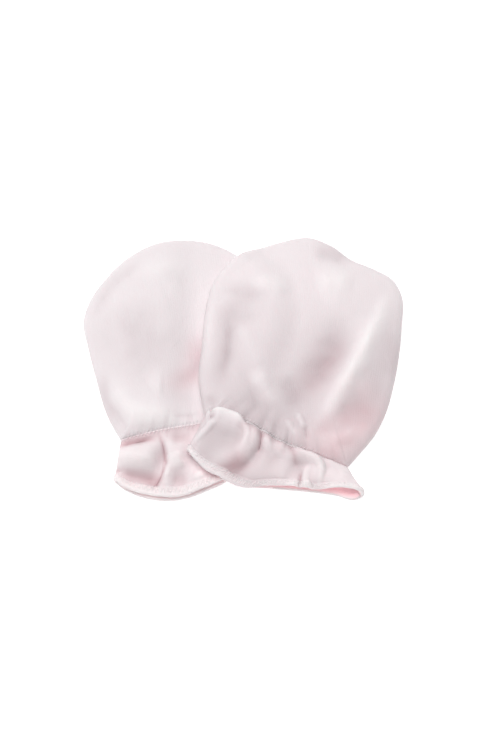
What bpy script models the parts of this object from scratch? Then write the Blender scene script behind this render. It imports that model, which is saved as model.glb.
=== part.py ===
"""A pair of baby scratch mittens laid flat, the right one lying partly on the left one.

Each mitten is a bag of two panels, sewn together round a turned seam, with a ruffle cuff gathered onto its
wrist. The lengths in this file are millimetres, and make_solid() turns them into metres. +Z is up, +Y points
to the fingertips, and the table is the plane z = 0. "Left" and "right" are as seen from above, wrists nearest.
"""
from collections import namedtuple

import bpy
import numpy as np

# Lengths: the script's millimetres in metres, and the move that centres the pair on the origin
MILLIMETRE = 0.001
CENTRING = (-0.17, 0.76)

# Cloth
WALL = 1.2
HEM_WALL = 1.8
HEM_SHARE = 0.88
SEAM_GAP = 0.3

# Height of the turned seam, and of each mitten's crown, above the table
SEAM_HEIGHT = 3.0
LEFT_CROWN = 11.8
RIGHT_CROWN = 13.6

# What the left mitten is pressed down to where the right one lies on it, and where that begins and ends
PRESSED_CROWN = 6.4
PRESS_FROM_X = -34.0
PRESS_TO_X = -18.0

# Surface that the right mitten lies on: its height over the left body and cuff, and how far it takes to fall
BODY_MOUND = 7.4
CUFF_MOUND = 6.0
BODY_FALL = 13.0
CUFF_FALL = 11.0
BODY_MOUND_SHARE = 0.95
CUFF_MOUND_SHARE = 0.90
MOUND_BLEND = 6.0
RIDE_UP = 0.45

# Fullness of a panel's crown: how flat its middle is, and how round its edge is at the seam and the wrist
FLATNESS = 2.4
SEAM_ROUNDNESS = 2.0
WRIST_ROUNDNESS = 1.6

# Squareness of the flattened tube: the power of its section's oval at the wrist and along the cuff
WRIST_OVAL = 3.0
CUFF_OVAL = 8.0
OVAL_CHANGE = 0.3

# Gathers of the elastic wrist on each side, their waves' share of the panel, and of the ruffle
GATHERS = 9
GATHER_START = 0.72
GATHER_END = 0.4
UNDER_GATHER = 0.5

# Points round a panel's edge, half of them along the wrist, and the rings from its middle outwards
EDGE_POINTS = 72
WRIST_POINTS = EDGE_POINTS // 2
BACK_COARSE_RINGS = (0.09, 0.18, 0.27, 0.36, 0.45, 0.54)
BACK_FINE_RINGS = (0.62, 0.70, 0.78, 0.85, 0.91, 0.955, 0.985, 1.0)
PALM_COARSE_RINGS = (0.16, 0.32, 0.48, 0.62, 0.75)
PALM_FINE_RINGS = (0.87, 0.92, 0.96, 0.985, 1.0)
PALM_CURL_START = 0.87
RUFFLE_ROWS = (0.0, 0.06, 0.13, 0.26, 0.40, 0.54, 0.67, 0.79, 0.88, 0.91, 1.0)

# Where the ruffle's roll, bulge and dip lie between the wrist, 0, and the hem, 1
ROLL_AT = 0.13
BULGE_AT = 0.40
DIP_AT = 0.79

# How far the ruffle rolls up beside the wrist seam, the least room inside it, and how softly it settles on that
ROLL = 0.7
LEAST_ROOM = 0.25
SETTLING = 1.0

# Points that a smooth curve is measured with, stretches of a fold's line, and the share in which its ends fade
CURVE_POINTS = 400
FOLD_STRETCHES = 12
FOLD_FADE = 0.38

# How sharply the gathers' waves fade at the two ends of the wrist
END_FADE = 0.5

# Angle in radians above which an edge of the cloth's wall is drawn sharp
SHARP_ANGLE = 0.9

CLOTH_COLOUR = (0.84, 0.73, 0.75, 1.0)
CLOTH_ROUGHNESS = 0.9

# A place on the seam; a place on the wrist with the height of the upper cloth there; a fold from its start
# through its middle to its end; a line of the ruffle's upper cloth from its share of the wrist, 0 at the left
# and 1 at the right, to its place at the hem, with its bow to the right and its heights on the way
Seam = namedtuple("Seam", "x y")
Wrist = namedtuple("Wrist", "x y top")
Fold = namedtuple("Fold", "name x0 y0 x1 y1 x2 y2 width height")
Line = namedtuple("Line", "share x y bow bulge dip hem")
Mitten = namedtuple("Mitten", "name middle seam wrist gathers folds ruffle under_hem")

LEFT = Mitten(
    name="left_mitten",
    middle=(-25.5, 9.0),
    seam=(
        Seam(-2.4, -22.5),
        Seam(3.4, -11.0),
        Seam(8.6, 3.0),
        Seam(12.2, 16.0),
        Seam(11.0, 28.5),
        Seam(5.5, 39.5),
        Seam(-3.2, 47.0),
        Seam(-13.0, 51.8),
        Seam(-24.0, 53.4),
        Seam(-35.2, 51.7),
        Seam(-46.0, 45.7),
        Seam(-55.2, 36.1),
        Seam(-61.4, 26.2),
        Seam(-63.5, 18.0),
        Seam(-61.5, 7.0),
        Seam(-57.9, -7.0),
        Seam(-53.6, -21.4),
        Seam(-47.7, -32.7),
    ),
    wrist=(
        Wrist(-47.7, -32.7, 5.4),
        Wrist(-33.0, -29.6, 6.4),
        Wrist(-15.2, -25.6, 4.4),
        Wrist(-2.4, -22.5, 4.2),
    ),
    gathers=(0.5, 0.7, 0.5, 0.8, 0.5, 0.6, 0.4, 0.3, 0.3),
    folds=(
        Fold("dent in the middle", -50.0, 26.0, -40.0, 6.0, -24.0, -8.0, 13.0, -1.4),
        Fold("crease beside the right mitten", -17.0, 14.0, -19.0, -5.0, -31.0, -14.0, 3.6, -1.6),
        Fold("puff over the wrist", -56.0, -4.0, -45.0, -22.0, -18.0, -24.0, 3.8, 2.0),
        Fold("soft fold at the fingertips", -44.0, 33.0, -33.0, 39.0, -18.0, 38.0, 4.5, 0.8),
    ),
    ruffle=(
        Line(0.00, -50.1, -48.8, 0.0, 5.8, 4.0, 3.6),
        Line(0.08, -47.2, -51.2, 0.0, 7.4, 3.8, 3.6),
        Line(0.18, -42.8, -53.4, 0.0, 8.2, 3.4, 3.6),
        Line(0.25, -40.0, -54.2, 1.5, 7.4, 3.2, 3.4),
        Line(0.32, -37.0, -54.8, 3.0, 3.6, 3.0, 3.0),
        Line(0.40, -32.4, -55.5, 1.0, 6.8, 5.0, 3.2),
        Line(0.50, -26.4, -55.6, 0.0, 6.8, 3.4, 3.0),
        Line(0.60, -21.0, -54.4, 0.0, 4.4, 3.6, 3.4),
        Line(0.70, -16.6, -52.5, 0.0, 4.2, 4.6, 3.8),
        Line(0.82, -10.6, -49.8, 0.0, 3.8, 3.6, 3.4),
        Line(0.92, -6.0, -47.0, 0.0, 3.6, 3.4, 3.2),
        Line(1.00, -3.6, -42.6, 0.0, 3.4, 3.2, 3.2),
    ),
    under_hem=(
        Seam(-6.4, -48.0),
        Seam(-13.6, -52.0),
        Seam(-26.0, -56.2),
        Seam(-38.6, -55.2),
        Seam(-46.8, -51.6),
    ),
)

RIGHT = Mitten(
    name="right_mitten",
    middle=(24.0, 6.0),
    seam=(
        Seam(40.4, -44.2),
        Seam(45.0, -38.6),
        Seam(51.2, -30.8),
        Seam(56.2, -20.8),
        Seam(59.5, -9.0),
        Seam(61.9, 4.0),
        Seam(63.2, 16.5),
        Seam(63.5, 28.6),
        Seam(60.7, 35.0),
        Seam(53.0, 40.2),
        Seam(43.8, 44.4),
        Seam(35.8, 50.6),
        Seam(27.0, 54.2),
        Seam(14.8, 52.1),
        Seam(4.8, 48.3),
        Seam(-4.4, 40.9),
        Seam(-11.4, 31.8),
        Seam(-14.6, 19.0),
        Seam(-15.8, 5.0),
        Seam(-17.0, -10.1),
        Seam(-14.4, -25.2),
    ),
    wrist=(
        Wrist(-14.4, -25.2, 12.2),
        Wrist(-8.4, -24.4, 13.0),
        Wrist(-2.0, -26.6, 12.6),
        Wrist(7.6, -31.6, 11.4),
        Wrist(14.8, -35.8, 10.4),
        Wrist(27.0, -39.9, 9.0),
        Wrist(40.4, -44.2, 5.6),
    ),
    gathers=(0.4, 0.5, 0.6, 0.9, 1.0, 0.9, 0.6, 0.7, 0.4),
    folds=(
        Fold("long ridge from the corner", 63.0, 37.0, 45.8, -1.0, 24.0, -38.0, 3.0, 3.1),
        Fold("foot of the ridge", 57.0, 26.0, 43.5, -2.0, 28.0, -29.0, 7.5, 0.8),
        Fold("hollow left of the ridge", 42.0, 20.0, 33.0, -3.0, 16.0, -24.0, 6.4, -2.3),
        Fold("slope right of the ridge", 62.0, 26.0, 54.0, -5.0, 36.0, -33.0, 7.0, -1.9),
        Fold("dark band at the left", -6.4, 25.0, -6.4, 2.0, -11.4, -20.0, 3.6, -1.7),
        Fold("slanting ridge beside it", -6.0, 24.0, 1.0, 9.0, 9.0, -8.0, 3.2, 1.2),
        Fold("crease over the wrist", -2.8, -1.0, 2.6, -15.0, 9.0, -31.0, 2.6, -1.0),
        Fold("ridge beside the crease", 4.4, -6.0, 8.6, -15.0, 12.4, -23.0, 3.6, 1.5),
        Fold("cross crease", -11.0, 25.6, 0.0, 24.2, 13.0, 21.0, 3.0, -1.0),
        Fold("soft fold above it", 2.0, 29.5, 11.0, 29.4, 20.0, 28.2, 3.8, 1.2),
        Fold("dent in the shoulder", 27.0, 45.4, 35.5, 46.0, 45.0, 42.0, 4.2, -1.8),
        Fold("puff in the shoulder", 28.0, 31.0, 35.0, 32.0, 45.0, 30.0, 6.5, 1.6),
        Fold("small hollow", 16.0, -8.0, 19.4, -17.0, 22.0, -26.0, 4.0, -1.4),
        Fold("band low at the right", 33.0, -24.5, 42.0, -22.5, 52.0, -18.0, 3.4, -1.8),
        Fold("fall to the wrist", -14.0, -16.0, 8.0, -24.0, 32.0, -34.0, 7.5, -1.4),
    ),
    ruffle=(
        Line(0.00, -21.4, -38.6, 0.0, 11.0, 10.2, 10.0),
        Line(0.10, -18.6, -42.4, -1.0, 11.4, 10.4, 9.8),
        Line(0.18, -15.4, -45.6, 0.0, 11.2, 9.8, 9.0),
        Line(0.26, -12.4, -47.8, 3.0, 11.6, 10.6, 8.2),
        Line(0.31, -10.4, -48.6, 4.6, 12.4, 10.4, 7.2),
        Line(0.39, -5.2, -50.8, 3.4, 8.6, 7.0, 5.6),
        Line(0.46, 1.4, -52.3, 2.0, 9.4, 6.8, 4.4),
        Line(0.53, 7.6, -51.4, 1.0, 8.4, 6.4, 4.0),
        Line(0.62, 14.8, -51.2, 0.0, 8.2, 6.0, 4.2),
        Line(0.70, 21.6, -51.8, 0.0, 6.4, 5.2, 5.2),
        Line(0.77, 27.4, -52.6, 1.5, 8.6, 6.6, 3.4),
        Line(0.86, 36.4, -53.2, 0.0, 7.6, 7.6, 7.6),
        Line(0.94, 43.2, -53.8, 0.0, 7.0, 7.4, 7.8),
        Line(1.00, 46.9, -54.8, 0.0, 5.4, 6.2, 6.6),
    ),
    under_hem=(
        Seam(44.2, -56.0),
        Seam(36.0, -54.2),
        Seam(25.0, -52.6),
        Seam(12.0, -51.4),
        Seam(-3.0, -49.6),
        Seam(-13.4, -45.0),
    ),
)


def soft_step(share):
    """Goes from 0 to 1 with a level start and end."""
    share = np.clip(share, 0.0, 1.0)
    return share * share * (3.0 - 2.0 * share)


def through(knots, values, places):
    """A smooth curve through the values at rising knots, read at the given places."""
    knots, values, places = (np.asarray(item, float) for item in (knots, values, places))
    slopes = np.gradient(values, knots, axis=0)
    left = np.clip(np.searchsorted(knots, places, side="right") - 1, 0, len(knots) - 2)
    columns = (-1,) + (1,) * (values.ndim - 1)
    span = (knots[left + 1] - knots[left]).reshape(columns)
    t = ((places - knots[left]) / span.ravel()).reshape(columns)
    ease = t * t * (3.0 - 2.0 * t)
    return (
        values[left] * (1.0 - ease)
        + values[left + 1] * ease
        + slopes[left] * span * t * (1.0 - t) ** 2
        - slopes[left + 1] * span * t * t * (1.0 - t)
    )


def lengths_along(points):
    """The distance run from the first point to each point."""
    steps = np.linalg.norm(np.diff(points, axis=0), axis=1)
    return np.concatenate(([0.0], np.cumsum(steps)))


def even_curve(marks, stretches):
    """Points at even steps along the smooth curve through the marks, both ends included."""
    marks = np.asarray(marks, float)
    knots = lengths_along(marks[:, :2])
    dense = through(knots, marks, np.linspace(0.0, knots[-1], CURVE_POINTS))
    run = lengths_along(dense[:, :2])
    places = np.linspace(0.0, run[-1], stretches + 1)
    return np.column_stack([np.interp(places, run, column) for column in dense.T])


def nearest_on(points, line):
    """Each point's distance from a line of straight stretches, and its share of the way along it."""
    start, step = line[:-1], np.diff(line, axis=0)
    offset = points[:, None, :] - start[None]
    share = np.clip((offset * step).sum(axis=2) / (step * step).sum(axis=1), 0.0, 1.0)
    distance = np.linalg.norm(offset - share[..., None] * step, axis=2)
    best = distance.argmin(axis=1)
    rows = np.arange(len(points))
    return distance[rows, best], (best + share[rows, best]) / len(step)


def distance_outside(points, loop):
    """How far each point lies outside a closed loop, 0 inside it."""
    ends = np.roll(loop, -1, axis=0)
    rises = (loop[:, 1] > points[:, 1:]) != (ends[:, 1] > points[:, 1:])
    with np.errstate(divide="ignore", invalid="ignore"):
        slope = (ends[:, 0] - loop[:, 0]) / (ends[:, 1] - loop[:, 1])
        crossing = loop[:, 0] + (points[:, 1:] - loop[:, 1]) * slope
    inside = (rises & (points[:, :1] < crossing)).sum(axis=1) % 2 == 1
    distance, _ = nearest_on(points, np.vstack([loop, loop[:1]]))
    return np.where(inside, 0.0, distance)


def edge_loop(mitten):
    """The edge of a mitten's body: the wrist from left to right, then the seam back round the top."""
    wrist = even_curve(mitten.wrist, WRIST_POINTS)
    seam = even_curve(mitten.seam, EDGE_POINTS - WRIST_POINTS)
    return np.vstack([wrist[:-1, :2], seam[:-1]])


def lies_on(mitten, points):
    """The height of what is under a mitten: the table, or the mound that the left one makes."""
    if mitten.name == LEFT.name:
        return np.zeros(len(points))
    body = edge_loop(LEFT)
    upper_hem = hem_lines(LEFT)[0]
    cuff = np.vstack([body[:WRIST_POINTS + 1], upper_hem[::-1, :2]])
    mounds = []
    for height, fall, share, loop in (
        (BODY_MOUND, BODY_FALL, BODY_MOUND_SHARE, body),
        (CUFF_MOUND, CUFF_FALL, CUFF_MOUND_SHARE, cuff),
    ):
        middle = loop.mean(axis=0)
        outside = distance_outside(points, middle + share * (loop - middle))
        mounds.append(height * (1.0 - soft_step(outside / fall)))
    return sum(mound ** MOUND_BLEND for mound in mounds) ** (1.0 / MOUND_BLEND)


def crown(mitten, points):
    """The height of the middle of a mitten's upper cloth."""
    if mitten.name == LEFT.name:
        pressed = soft_step((points[:, 0] - PRESS_FROM_X) / (PRESS_TO_X - PRESS_FROM_X))
        return (LEFT_CROWN + relief(mitten, points)) * (1.0 - pressed) + PRESSED_CROWN * pressed
    return RIGHT_CROWN + RIDE_UP * lies_on(mitten, points) + relief(mitten, points)


def relief(mitten, points):
    """The ridges and hollows of a mitten's folds, each a soft bank that fades out at its two ends."""
    height = np.zeros(len(points))
    for fold in mitten.folds:
        marks = ((fold.x0, fold.y0), (fold.x1, fold.y1), (fold.x2, fold.y2))
        distance, share = nearest_on(points, even_curve(marks, FOLD_STRETCHES))
        fade = soft_step(share / FOLD_FADE) * soft_step((1.0 - share) / FOLD_FADE)
        height += fold.height * np.exp(-((distance / fold.width) ** 2)) * fade
    return height


def gather_wave(mitten):
    """The gathers' height at each point over the wrist, from its left end to its right end."""
    share = np.linspace(0.0, 1.0, WRIST_POINTS + 1)
    heights = np.interp(share, np.linspace(0.0, 1.0, GATHERS), mitten.gathers)
    return heights * np.cos(2.0 * np.pi * GATHERS * share) * np.sin(np.pi * share) ** END_FADE


def wrist_ring(mitten):
    """The ring of cloth at the wrist: over the top from left to right, and back underneath."""
    wrist = even_curve(mitten.wrist, WRIST_POINTS)
    share = np.linspace(0.0, 1.0, WRIST_POINTS + 1)
    oval = (1.0 - np.abs(2.0 * share - 1.0) ** WRIST_OVAL) ** (1.0 / WRIST_OVAL)
    floor = lies_on(mitten, wrist[:, :2])
    middle = np.interp(share, (0.0, 1.0), (floor[0], floor[-1])) + SEAM_HEIGHT
    wave = gather_wave(mitten)
    over = middle + (wrist[:, 2] - middle) * oval + wave
    lift = UNDER_GATHER * (wave - wave.min()) * oval
    under = middle + (floor + WALL / 2.0 + lift - middle) * oval
    top = np.column_stack([wrist[:, :2], over])
    bottom = np.column_stack([wrist[:, :2], under])
    return np.vstack([top[:-1], bottom[:0:-1]])


def wrist_axes(mitten):
    """The level directions across the wrist seam, towards the fingertips, at each point of its ring."""
    along = np.gradient(even_curve(mitten.wrist, WRIST_POINTS)[:, :2], axis=0)
    across = np.column_stack([-along[:, 1], along[:, 0], np.zeros(len(along))])
    across /= np.linalg.norm(across, axis=1, keepdims=True)
    return np.vstack([across[:-1], across[:0:-1]])


def back_surface(mitten):
    """The upper cloth of the body, as rings of points from the middle to the edge."""
    edge = edge_loop(mitten)
    ring = wrist_ring(mitten)[:WRIST_POINTS + 1]
    wave = np.zeros(EDGE_POINTS)
    wave[:WRIST_POINTS + 1] = gather_wave(mitten)
    edge_height = lies_on(mitten, edge) + SEAM_HEIGHT
    edge_height[:WRIST_POINTS + 1] = ring[:, 2] - wave[:WRIST_POINTS + 1]
    share = np.arange(EDGE_POINTS) / WRIST_POINTS
    wrist_share = np.where(share < 1.0, np.sin(np.pi * np.minimum(share, 1.0)) ** END_FADE, 0.0)
    roundness = SEAM_ROUNDNESS + (WRIST_ROUNDNESS - SEAM_ROUNDNESS) * wrist_share

    def ring_at(rho, step):
        points = np.array(mitten.middle) + rho * (edge[::step] - mitten.middle)
        fullness = (1.0 - rho ** FLATNESS) ** (1.0 / roundness[::step])
        height = edge_height[::step] + (crown(mitten, points) - edge_height[::step]) * fullness
        height += wave[::step] * soft_step((rho - GATHER_START) / (1.0 - GATHER_START))
        return np.column_stack([points, height])

    rings = [ring_at(0.0, EDGE_POINTS)]
    rings += [ring_at(rho, 2) for rho in BACK_COARSE_RINGS]
    rings += [ring_at(rho, 1) for rho in BACK_FINE_RINGS]
    rings[-1] += SEAM_GAP / 2.0 * edge_shift(mitten, 1.0)
    return rings


def palm_surface(mitten):
    """The under cloth of the body, flat on what it lies on and curling up to the seam."""
    edge = edge_loop(mitten)
    ring = wrist_ring(mitten)
    level = lies_on(mitten, edge) + WALL / 2.0
    edge_height = lies_on(mitten, edge) + SEAM_HEIGHT
    edge_height[0] = ring[0, 2]
    edge_height[1:WRIST_POINTS + 1] = ring[:WRIST_POINTS - 1:-1, 2]

    def ring_at(rho, step):
        points = np.array(mitten.middle) + rho * (edge[::step] - mitten.middle)
        turn = max(0.0, (rho - PALM_CURL_START) / (1.0 - PALM_CURL_START))
        curl = 1.0 - (1.0 - turn * turn) ** 0.5
        height = lies_on(mitten, points) + WALL / 2.0 + (edge_height[::step] - level[::step]) * curl
        return np.column_stack([points, height])

    rings = [ring_at(0.0, EDGE_POINTS)]
    rings += [ring_at(rho, 2) for rho in PALM_COARSE_RINGS]
    rings += [ring_at(rho, 1) for rho in PALM_FINE_RINGS]
    rings[-1] += SEAM_GAP / 2.0 * edge_shift(mitten, -1.0)
    return rings


def edge_shift(mitten, upwards):
    """The directions in which a panel's edge draws back from the seam and from the wrist."""
    shift = np.zeros((EDGE_POINTS, 3))
    shift[:WRIST_POINTS + 1] = wrist_axes(mitten)[:WRIST_POINTS + 1]
    shift[WRIST_POINTS:, 2] = upwards
    shift[0, 2] = upwards
    return shift


def hem_lines(mitten):
    """The hem of the upper and of the under cloth, left to right, and the upper lines' bow and heights."""
    lines = np.array(mitten.ruffle)
    share = np.linspace(0.0, 1.0, WRIST_POINTS + 1)
    values = through(lines[:, 0], lines[:, 1:], share)
    marks = [lines[-1, 1:3], *mitten.under_hem, lines[0, 1:3]]
    return values[:, :2], even_curve(marks, WRIST_POINTS)[::-1], values[:, 2:]


def ruffle_surface(mitten):
    """The cuff as rows of points round the ring, from the wrist to the hem."""
    ring = wrist_ring(mitten)
    upper_hem, under_hem, lines = hem_lines(mitten)
    wrist = even_curve(mitten.wrist, WRIST_POINTS)
    share = np.linspace(0.0, 1.0, WRIST_POINTS + 1)
    levels = np.vstack([wrist[:, 2], wrist[:, 2] + ROLL, lines[:, 1:].T])
    ends = lies_on(mitten, wrist[[0, -1], :2]) + SEAM_HEIGHT
    wave = gather_wave(mitten)
    rows = []
    for down in RUFFLE_ROWS:
        wall = wall_at(down)
        bow = np.column_stack([lines[:, 0], np.zeros_like(share)]) * 4.0 * down * (1.0 - down)
        upper = wrist[:, :2] + (upper_hem - wrist[:, :2]) * down + bow
        under = wrist[:, :2] + (under_hem - wrist[:, :2]) * down
        height = through((0.0, ROLL_AT, BULGE_AT, DIP_AT, 1.0), levels, np.array([down]))[0]
        floor = lies_on(mitten, under) + wall / 2.0
        least = lies_on(mitten, upper) + wall + LEAST_ROOM + wall / 2.0
        height = (height + least + np.hypot(height - least, SETTLING)) / 2.0
        change = soft_step(down / OVAL_CHANGE)
        folds = (height[[0, -1]] + floor[[0, -1]]) / 2.0
        middle = np.interp(share, (0.0, 1.0), ends + (folds - ends) * change)
        power = WRIST_OVAL + (CUFF_OVAL - WRIST_OVAL) * change
        oval = (1.0 - np.abs(2.0 * share - 1.0) ** power) ** (1.0 / power)
        fade = 1.0 - soft_step(down / GATHER_END)
        lift = UNDER_GATHER * (wave - wave.min()) * oval
        over = middle + (height - middle) * oval + wave * fade
        below = middle + (floor + lift * fade - middle) * oval
        rows.append(np.vstack([
            np.column_stack([upper, over])[:-1],
            np.column_stack([under, below])[:0:-1],
        ]))
    rows[0] = ring - SEAM_GAP / 2.0 * wrist_axes(mitten)
    return rows


def wall_at(share):
    """The thickness of the ruffle, which is folded double at its hem."""
    return HEM_WALL if share > HEM_SHARE else WALL


def disc_faces(counts):
    """Faces between rings of the given counts of points, a ring twice as fine being joined by triangles."""
    starts = np.concatenate(([0], np.cumsum(counts)))
    faces = []
    for ring, (inner, outer) in enumerate(zip(counts, counts[1:])):
        a, b = starts[ring], starts[ring + 1]
        for column in range(inner if inner > 1 else outer):
            ahead = (column + 1) % max(inner, 2)
            if inner == 1:
                faces.append((a, b + column, b + (column + 1) % outer))
            elif inner == outer:
                faces.append((a + column, b + column, b + ahead, a + ahead))
            else:
                between = 2 * column + 1
                faces.append((a + column, b + 2 * column, b + between))
                faces.append((a + column, b + between, a + ahead))
                faces.append((a + ahead, b + between, b + (between + 1) % outer))
    return faces


def tube_faces(rows, columns):
    """Faces between closed rows of points, facing out of the tube."""
    faces = []
    for row in range(rows - 1):
        a, b = row * columns, (row + 1) * columns
        for column in range(columns):
            ahead = (column + 1) % columns
            faces.append((a + column, b + column, b + ahead, a + ahead))
    return faces


def vertex_normals(points, faces):
    """Each point's unit normal, from the faces round it."""
    normals = np.zeros_like(points)
    for face in faces:
        corners = points[list(face)]
        normal = np.cross(corners[1] - corners[0], corners[-1] - corners[0])
        if len(face) == 4:
            normal = np.cross(corners[2] - corners[0], corners[3] - corners[1])
        for index in face:
            normals[index] += normal
    return normals / np.linalg.norm(normals, axis=1, keepdims=True)


def square_to(normals, rows, directions):
    """Turns the normals of the given points square to a direction for each."""
    normals[rows] -= (normals[rows] * directions).sum(axis=1)[:, None] * directions
    normals[rows] /= np.linalg.norm(normals[rows], axis=1, keepdims=True)


def seam_normals(mitten):
    """The level outward directions round the seam, and along the wrist at its two ends."""
    edge = edge_loop(mitten)
    along = np.roll(edge, -1, axis=0) - np.roll(edge, 1, axis=0)
    outward = np.column_stack([along[:, 1], -along[:, 0], np.zeros(EDGE_POINTS)])
    ends = [0, WRIST_POINTS]
    square_to(outward, ends, wrist_axes(mitten)[ends])
    return outward / np.linalg.norm(outward, axis=1, keepdims=True)


def make_solid(name, points, faces, normals, walls, borders, parent):
    """A closed wall of cloth, half its thickness on either side of the points."""
    count = len(points)
    half = (walls / 2.0)[:, None] * normals
    vertices = np.vstack([points + half, points - half]) * MILLIMETRE
    polygons = [tuple(int(index) for index in face) for face in faces]
    polygons += [tuple(int(index) + count for index in reversed(face)) for face in faces]
    for border in borders:
        for here, ahead in zip(border, border[1:] + border[:1]):
            polygons.append((here, here + count, ahead + count, ahead))
    mesh = bpy.data.meshes.new(name)
    mesh.from_pydata(vertices.tolist(), [], polygons)
    mesh.validate()
    mesh.shade_smooth()
    mesh.set_sharp_from_angle(angle=SHARP_ANGLE)
    mesh.materials.append(cloth_material(name))
    solid = bpy.data.objects.new(name, mesh)
    solid.parent = parent
    bpy.context.scene.collection.objects.link(solid)
    return solid


def cloth_material(name):
    """Pale pink brushed cotton."""
    material = bpy.data.materials.new(name + "_cotton")
    material.use_nodes = True
    shader = material.node_tree.nodes["Principled BSDF"]
    shader.inputs["Base Color"].default_value = CLOTH_COLOUR
    shader.inputs["Roughness"].default_value = CLOTH_ROUGHNESS
    shader.inputs["Metallic"].default_value = 0.0
    return material


def make_panel(name, mitten, rings, faces_up, parent):
    """One panel of the body, from its rings of points."""
    counts = [len(ring) for ring in rings]
    points = np.vstack(rings)
    faces = disc_faces(counts)
    normals = vertex_normals(points, faces)
    if not faces_up:
        faces = [tuple(reversed(face)) for face in faces]
        normals = -normals
    edge = np.arange(len(points) - EDGE_POINTS, len(points))
    square_to(normals, edge[1:WRIST_POINTS], wrist_axes(mitten)[1:WRIST_POINTS])
    normals[edge[WRIST_POINTS:]] = seam_normals(mitten)[WRIST_POINTS:]
    normals[edge[0]] = seam_normals(mitten)[0]
    border = edge.tolist() if faces_up else edge.tolist()[::-1]
    walls = np.full(len(points), WALL)
    return make_solid(name, points, faces, normals, walls, [border], parent)


def make_ruffle(name, mitten, parent):
    """The cuff: one strip of cloth sewn into a ring."""
    rows = ruffle_surface(mitten)
    points = np.vstack(rows)
    faces = tube_faces(len(rows), EDGE_POINTS)
    normals = vertex_normals(points, faces)
    wrist = np.arange(EDGE_POINTS)
    square_to(normals, wrist, wrist_axes(mitten))
    hem = np.arange(len(points) - EDGE_POINTS, len(points))
    walls = np.repeat([wall_at(share) for share in RUFFLE_ROWS], EDGE_POINTS)
    borders = [wrist.tolist()[::-1], hem.tolist()]
    return make_solid(name, points, faces, normals, walls, borders, parent)


def make_mitten(mitten, parent):
    """The three pieces of one mitten."""
    make_panel(mitten.name + "_palm", mitten, palm_surface(mitten), False, parent)
    make_panel(mitten.name + "_back", mitten, back_surface(mitten), True, parent)
    make_ruffle(mitten.name + "_ruffle_cuff", mitten, parent)


def main():
    for old in list(bpy.data.objects):
        bpy.data.objects.remove(old)
    pair = bpy.data.objects.new("pair_of_mittens", None)
    pair.location = (CENTRING[0] * MILLIMETRE, CENTRING[1] * MILLIMETRE, 0.0)
    bpy.context.scene.collection.objects.link(pair)
    for mitten in (LEFT, RIGHT):
        make_mitten(mitten, pair)
    bpy.context.view_layer.update()


main()
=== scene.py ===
# %% [markdown]
# A pair of newborn scratch mittens, laid flat with the right one lapping over the left. Each is a bag of two
# knitted panels with a turned seam, gathered by elastic at the wrist above a ruffle cuff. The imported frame
# brings the solids and their exact places, so this file only makes what the eye needs on top of them: soft
# cloth on the same form, creases, sewing thread, light and a camera.

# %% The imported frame
from collections import namedtuple

import bpy
import numpy as np
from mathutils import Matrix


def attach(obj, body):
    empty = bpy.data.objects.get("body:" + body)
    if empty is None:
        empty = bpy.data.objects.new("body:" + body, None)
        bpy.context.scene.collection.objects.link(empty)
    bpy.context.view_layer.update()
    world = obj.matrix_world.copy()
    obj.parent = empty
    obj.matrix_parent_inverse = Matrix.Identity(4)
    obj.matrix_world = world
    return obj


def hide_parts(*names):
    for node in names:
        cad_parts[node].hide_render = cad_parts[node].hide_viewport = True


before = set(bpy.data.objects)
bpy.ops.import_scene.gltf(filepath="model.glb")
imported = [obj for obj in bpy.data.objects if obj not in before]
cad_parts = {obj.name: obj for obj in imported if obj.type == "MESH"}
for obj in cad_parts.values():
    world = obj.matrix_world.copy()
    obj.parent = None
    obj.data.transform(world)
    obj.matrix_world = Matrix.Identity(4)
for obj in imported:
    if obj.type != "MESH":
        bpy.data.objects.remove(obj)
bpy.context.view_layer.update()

# %% [markdown]
# Lengths are millimetres, as a sewing pattern gives them, and one number turns them into metres. The walls,
# the seam's height and the crowns are those of the solids, so that the soft shells lie where the solids are.

# %% Sizes in millimetres
MILLIMETRE = 0.001
CENTRING = np.array([-0.17, 0.76, 0.0])
WALL = 1.2
HEM_WALL = 1.75
HEM_SHARE = 0.87
SEAM_HEIGHT = 3.0
END_ROOM = 0.5
LEFT_CROWN, RIGHT_CROWN, PRESSED_CROWN = 11.8, 13.6, 6.4
PRESS_FROM_X, PRESS_TO_X = -34.0, -18.0
BODY_MOUND, BODY_FALL, BODY_MOUND_SHARE = 7.4, 13.0, 0.95
CUFF_MOUND, CUFF_FALL, CUFF_MOUND_SHARE = 6.0, 11.0, 0.90
MOUND_BLEND = 6.0
RIDE_UP = 0.45
FLATNESS, SEAM_ROUNDNESS, WRIST_ROUNDNESS = 2.4, 2.0, 1.6
WRIST_OVAL, CUFF_OVAL, OVAL_CHANGE = 3.0, 8.0, 0.3
GATHERS, GATHER_START, GATHER_END, UNDER_GATHER = 9, 0.72, 0.4, 0.5
ROLL, ROLL_AT, BULGE_AT, DIP_AT = 0.7, 0.13, 0.40, 0.79
LEAST_ROOM, SETTLING = 0.25, 1.0
PALM_CURL_START = 0.87
WRIST_STEPS, SEAM_STEPS, BODY_RINGS, CUFF_ROWS = 150, 270, 88, 66
print("cloth wall", WALL, "mm, hem", HEM_WALL, "mm")

# %% [markdown]
# Each mitten is a short table: marks on its seam, marks on its wrist with the height of the upper cloth, the
# lines of its ruffle from wrist to hem, and the folds that the photograph shows. A fold is three marks, a
# width and a height, a hollow being a fold of less than nothing. Softness is how much of the gathers shows.

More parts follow.
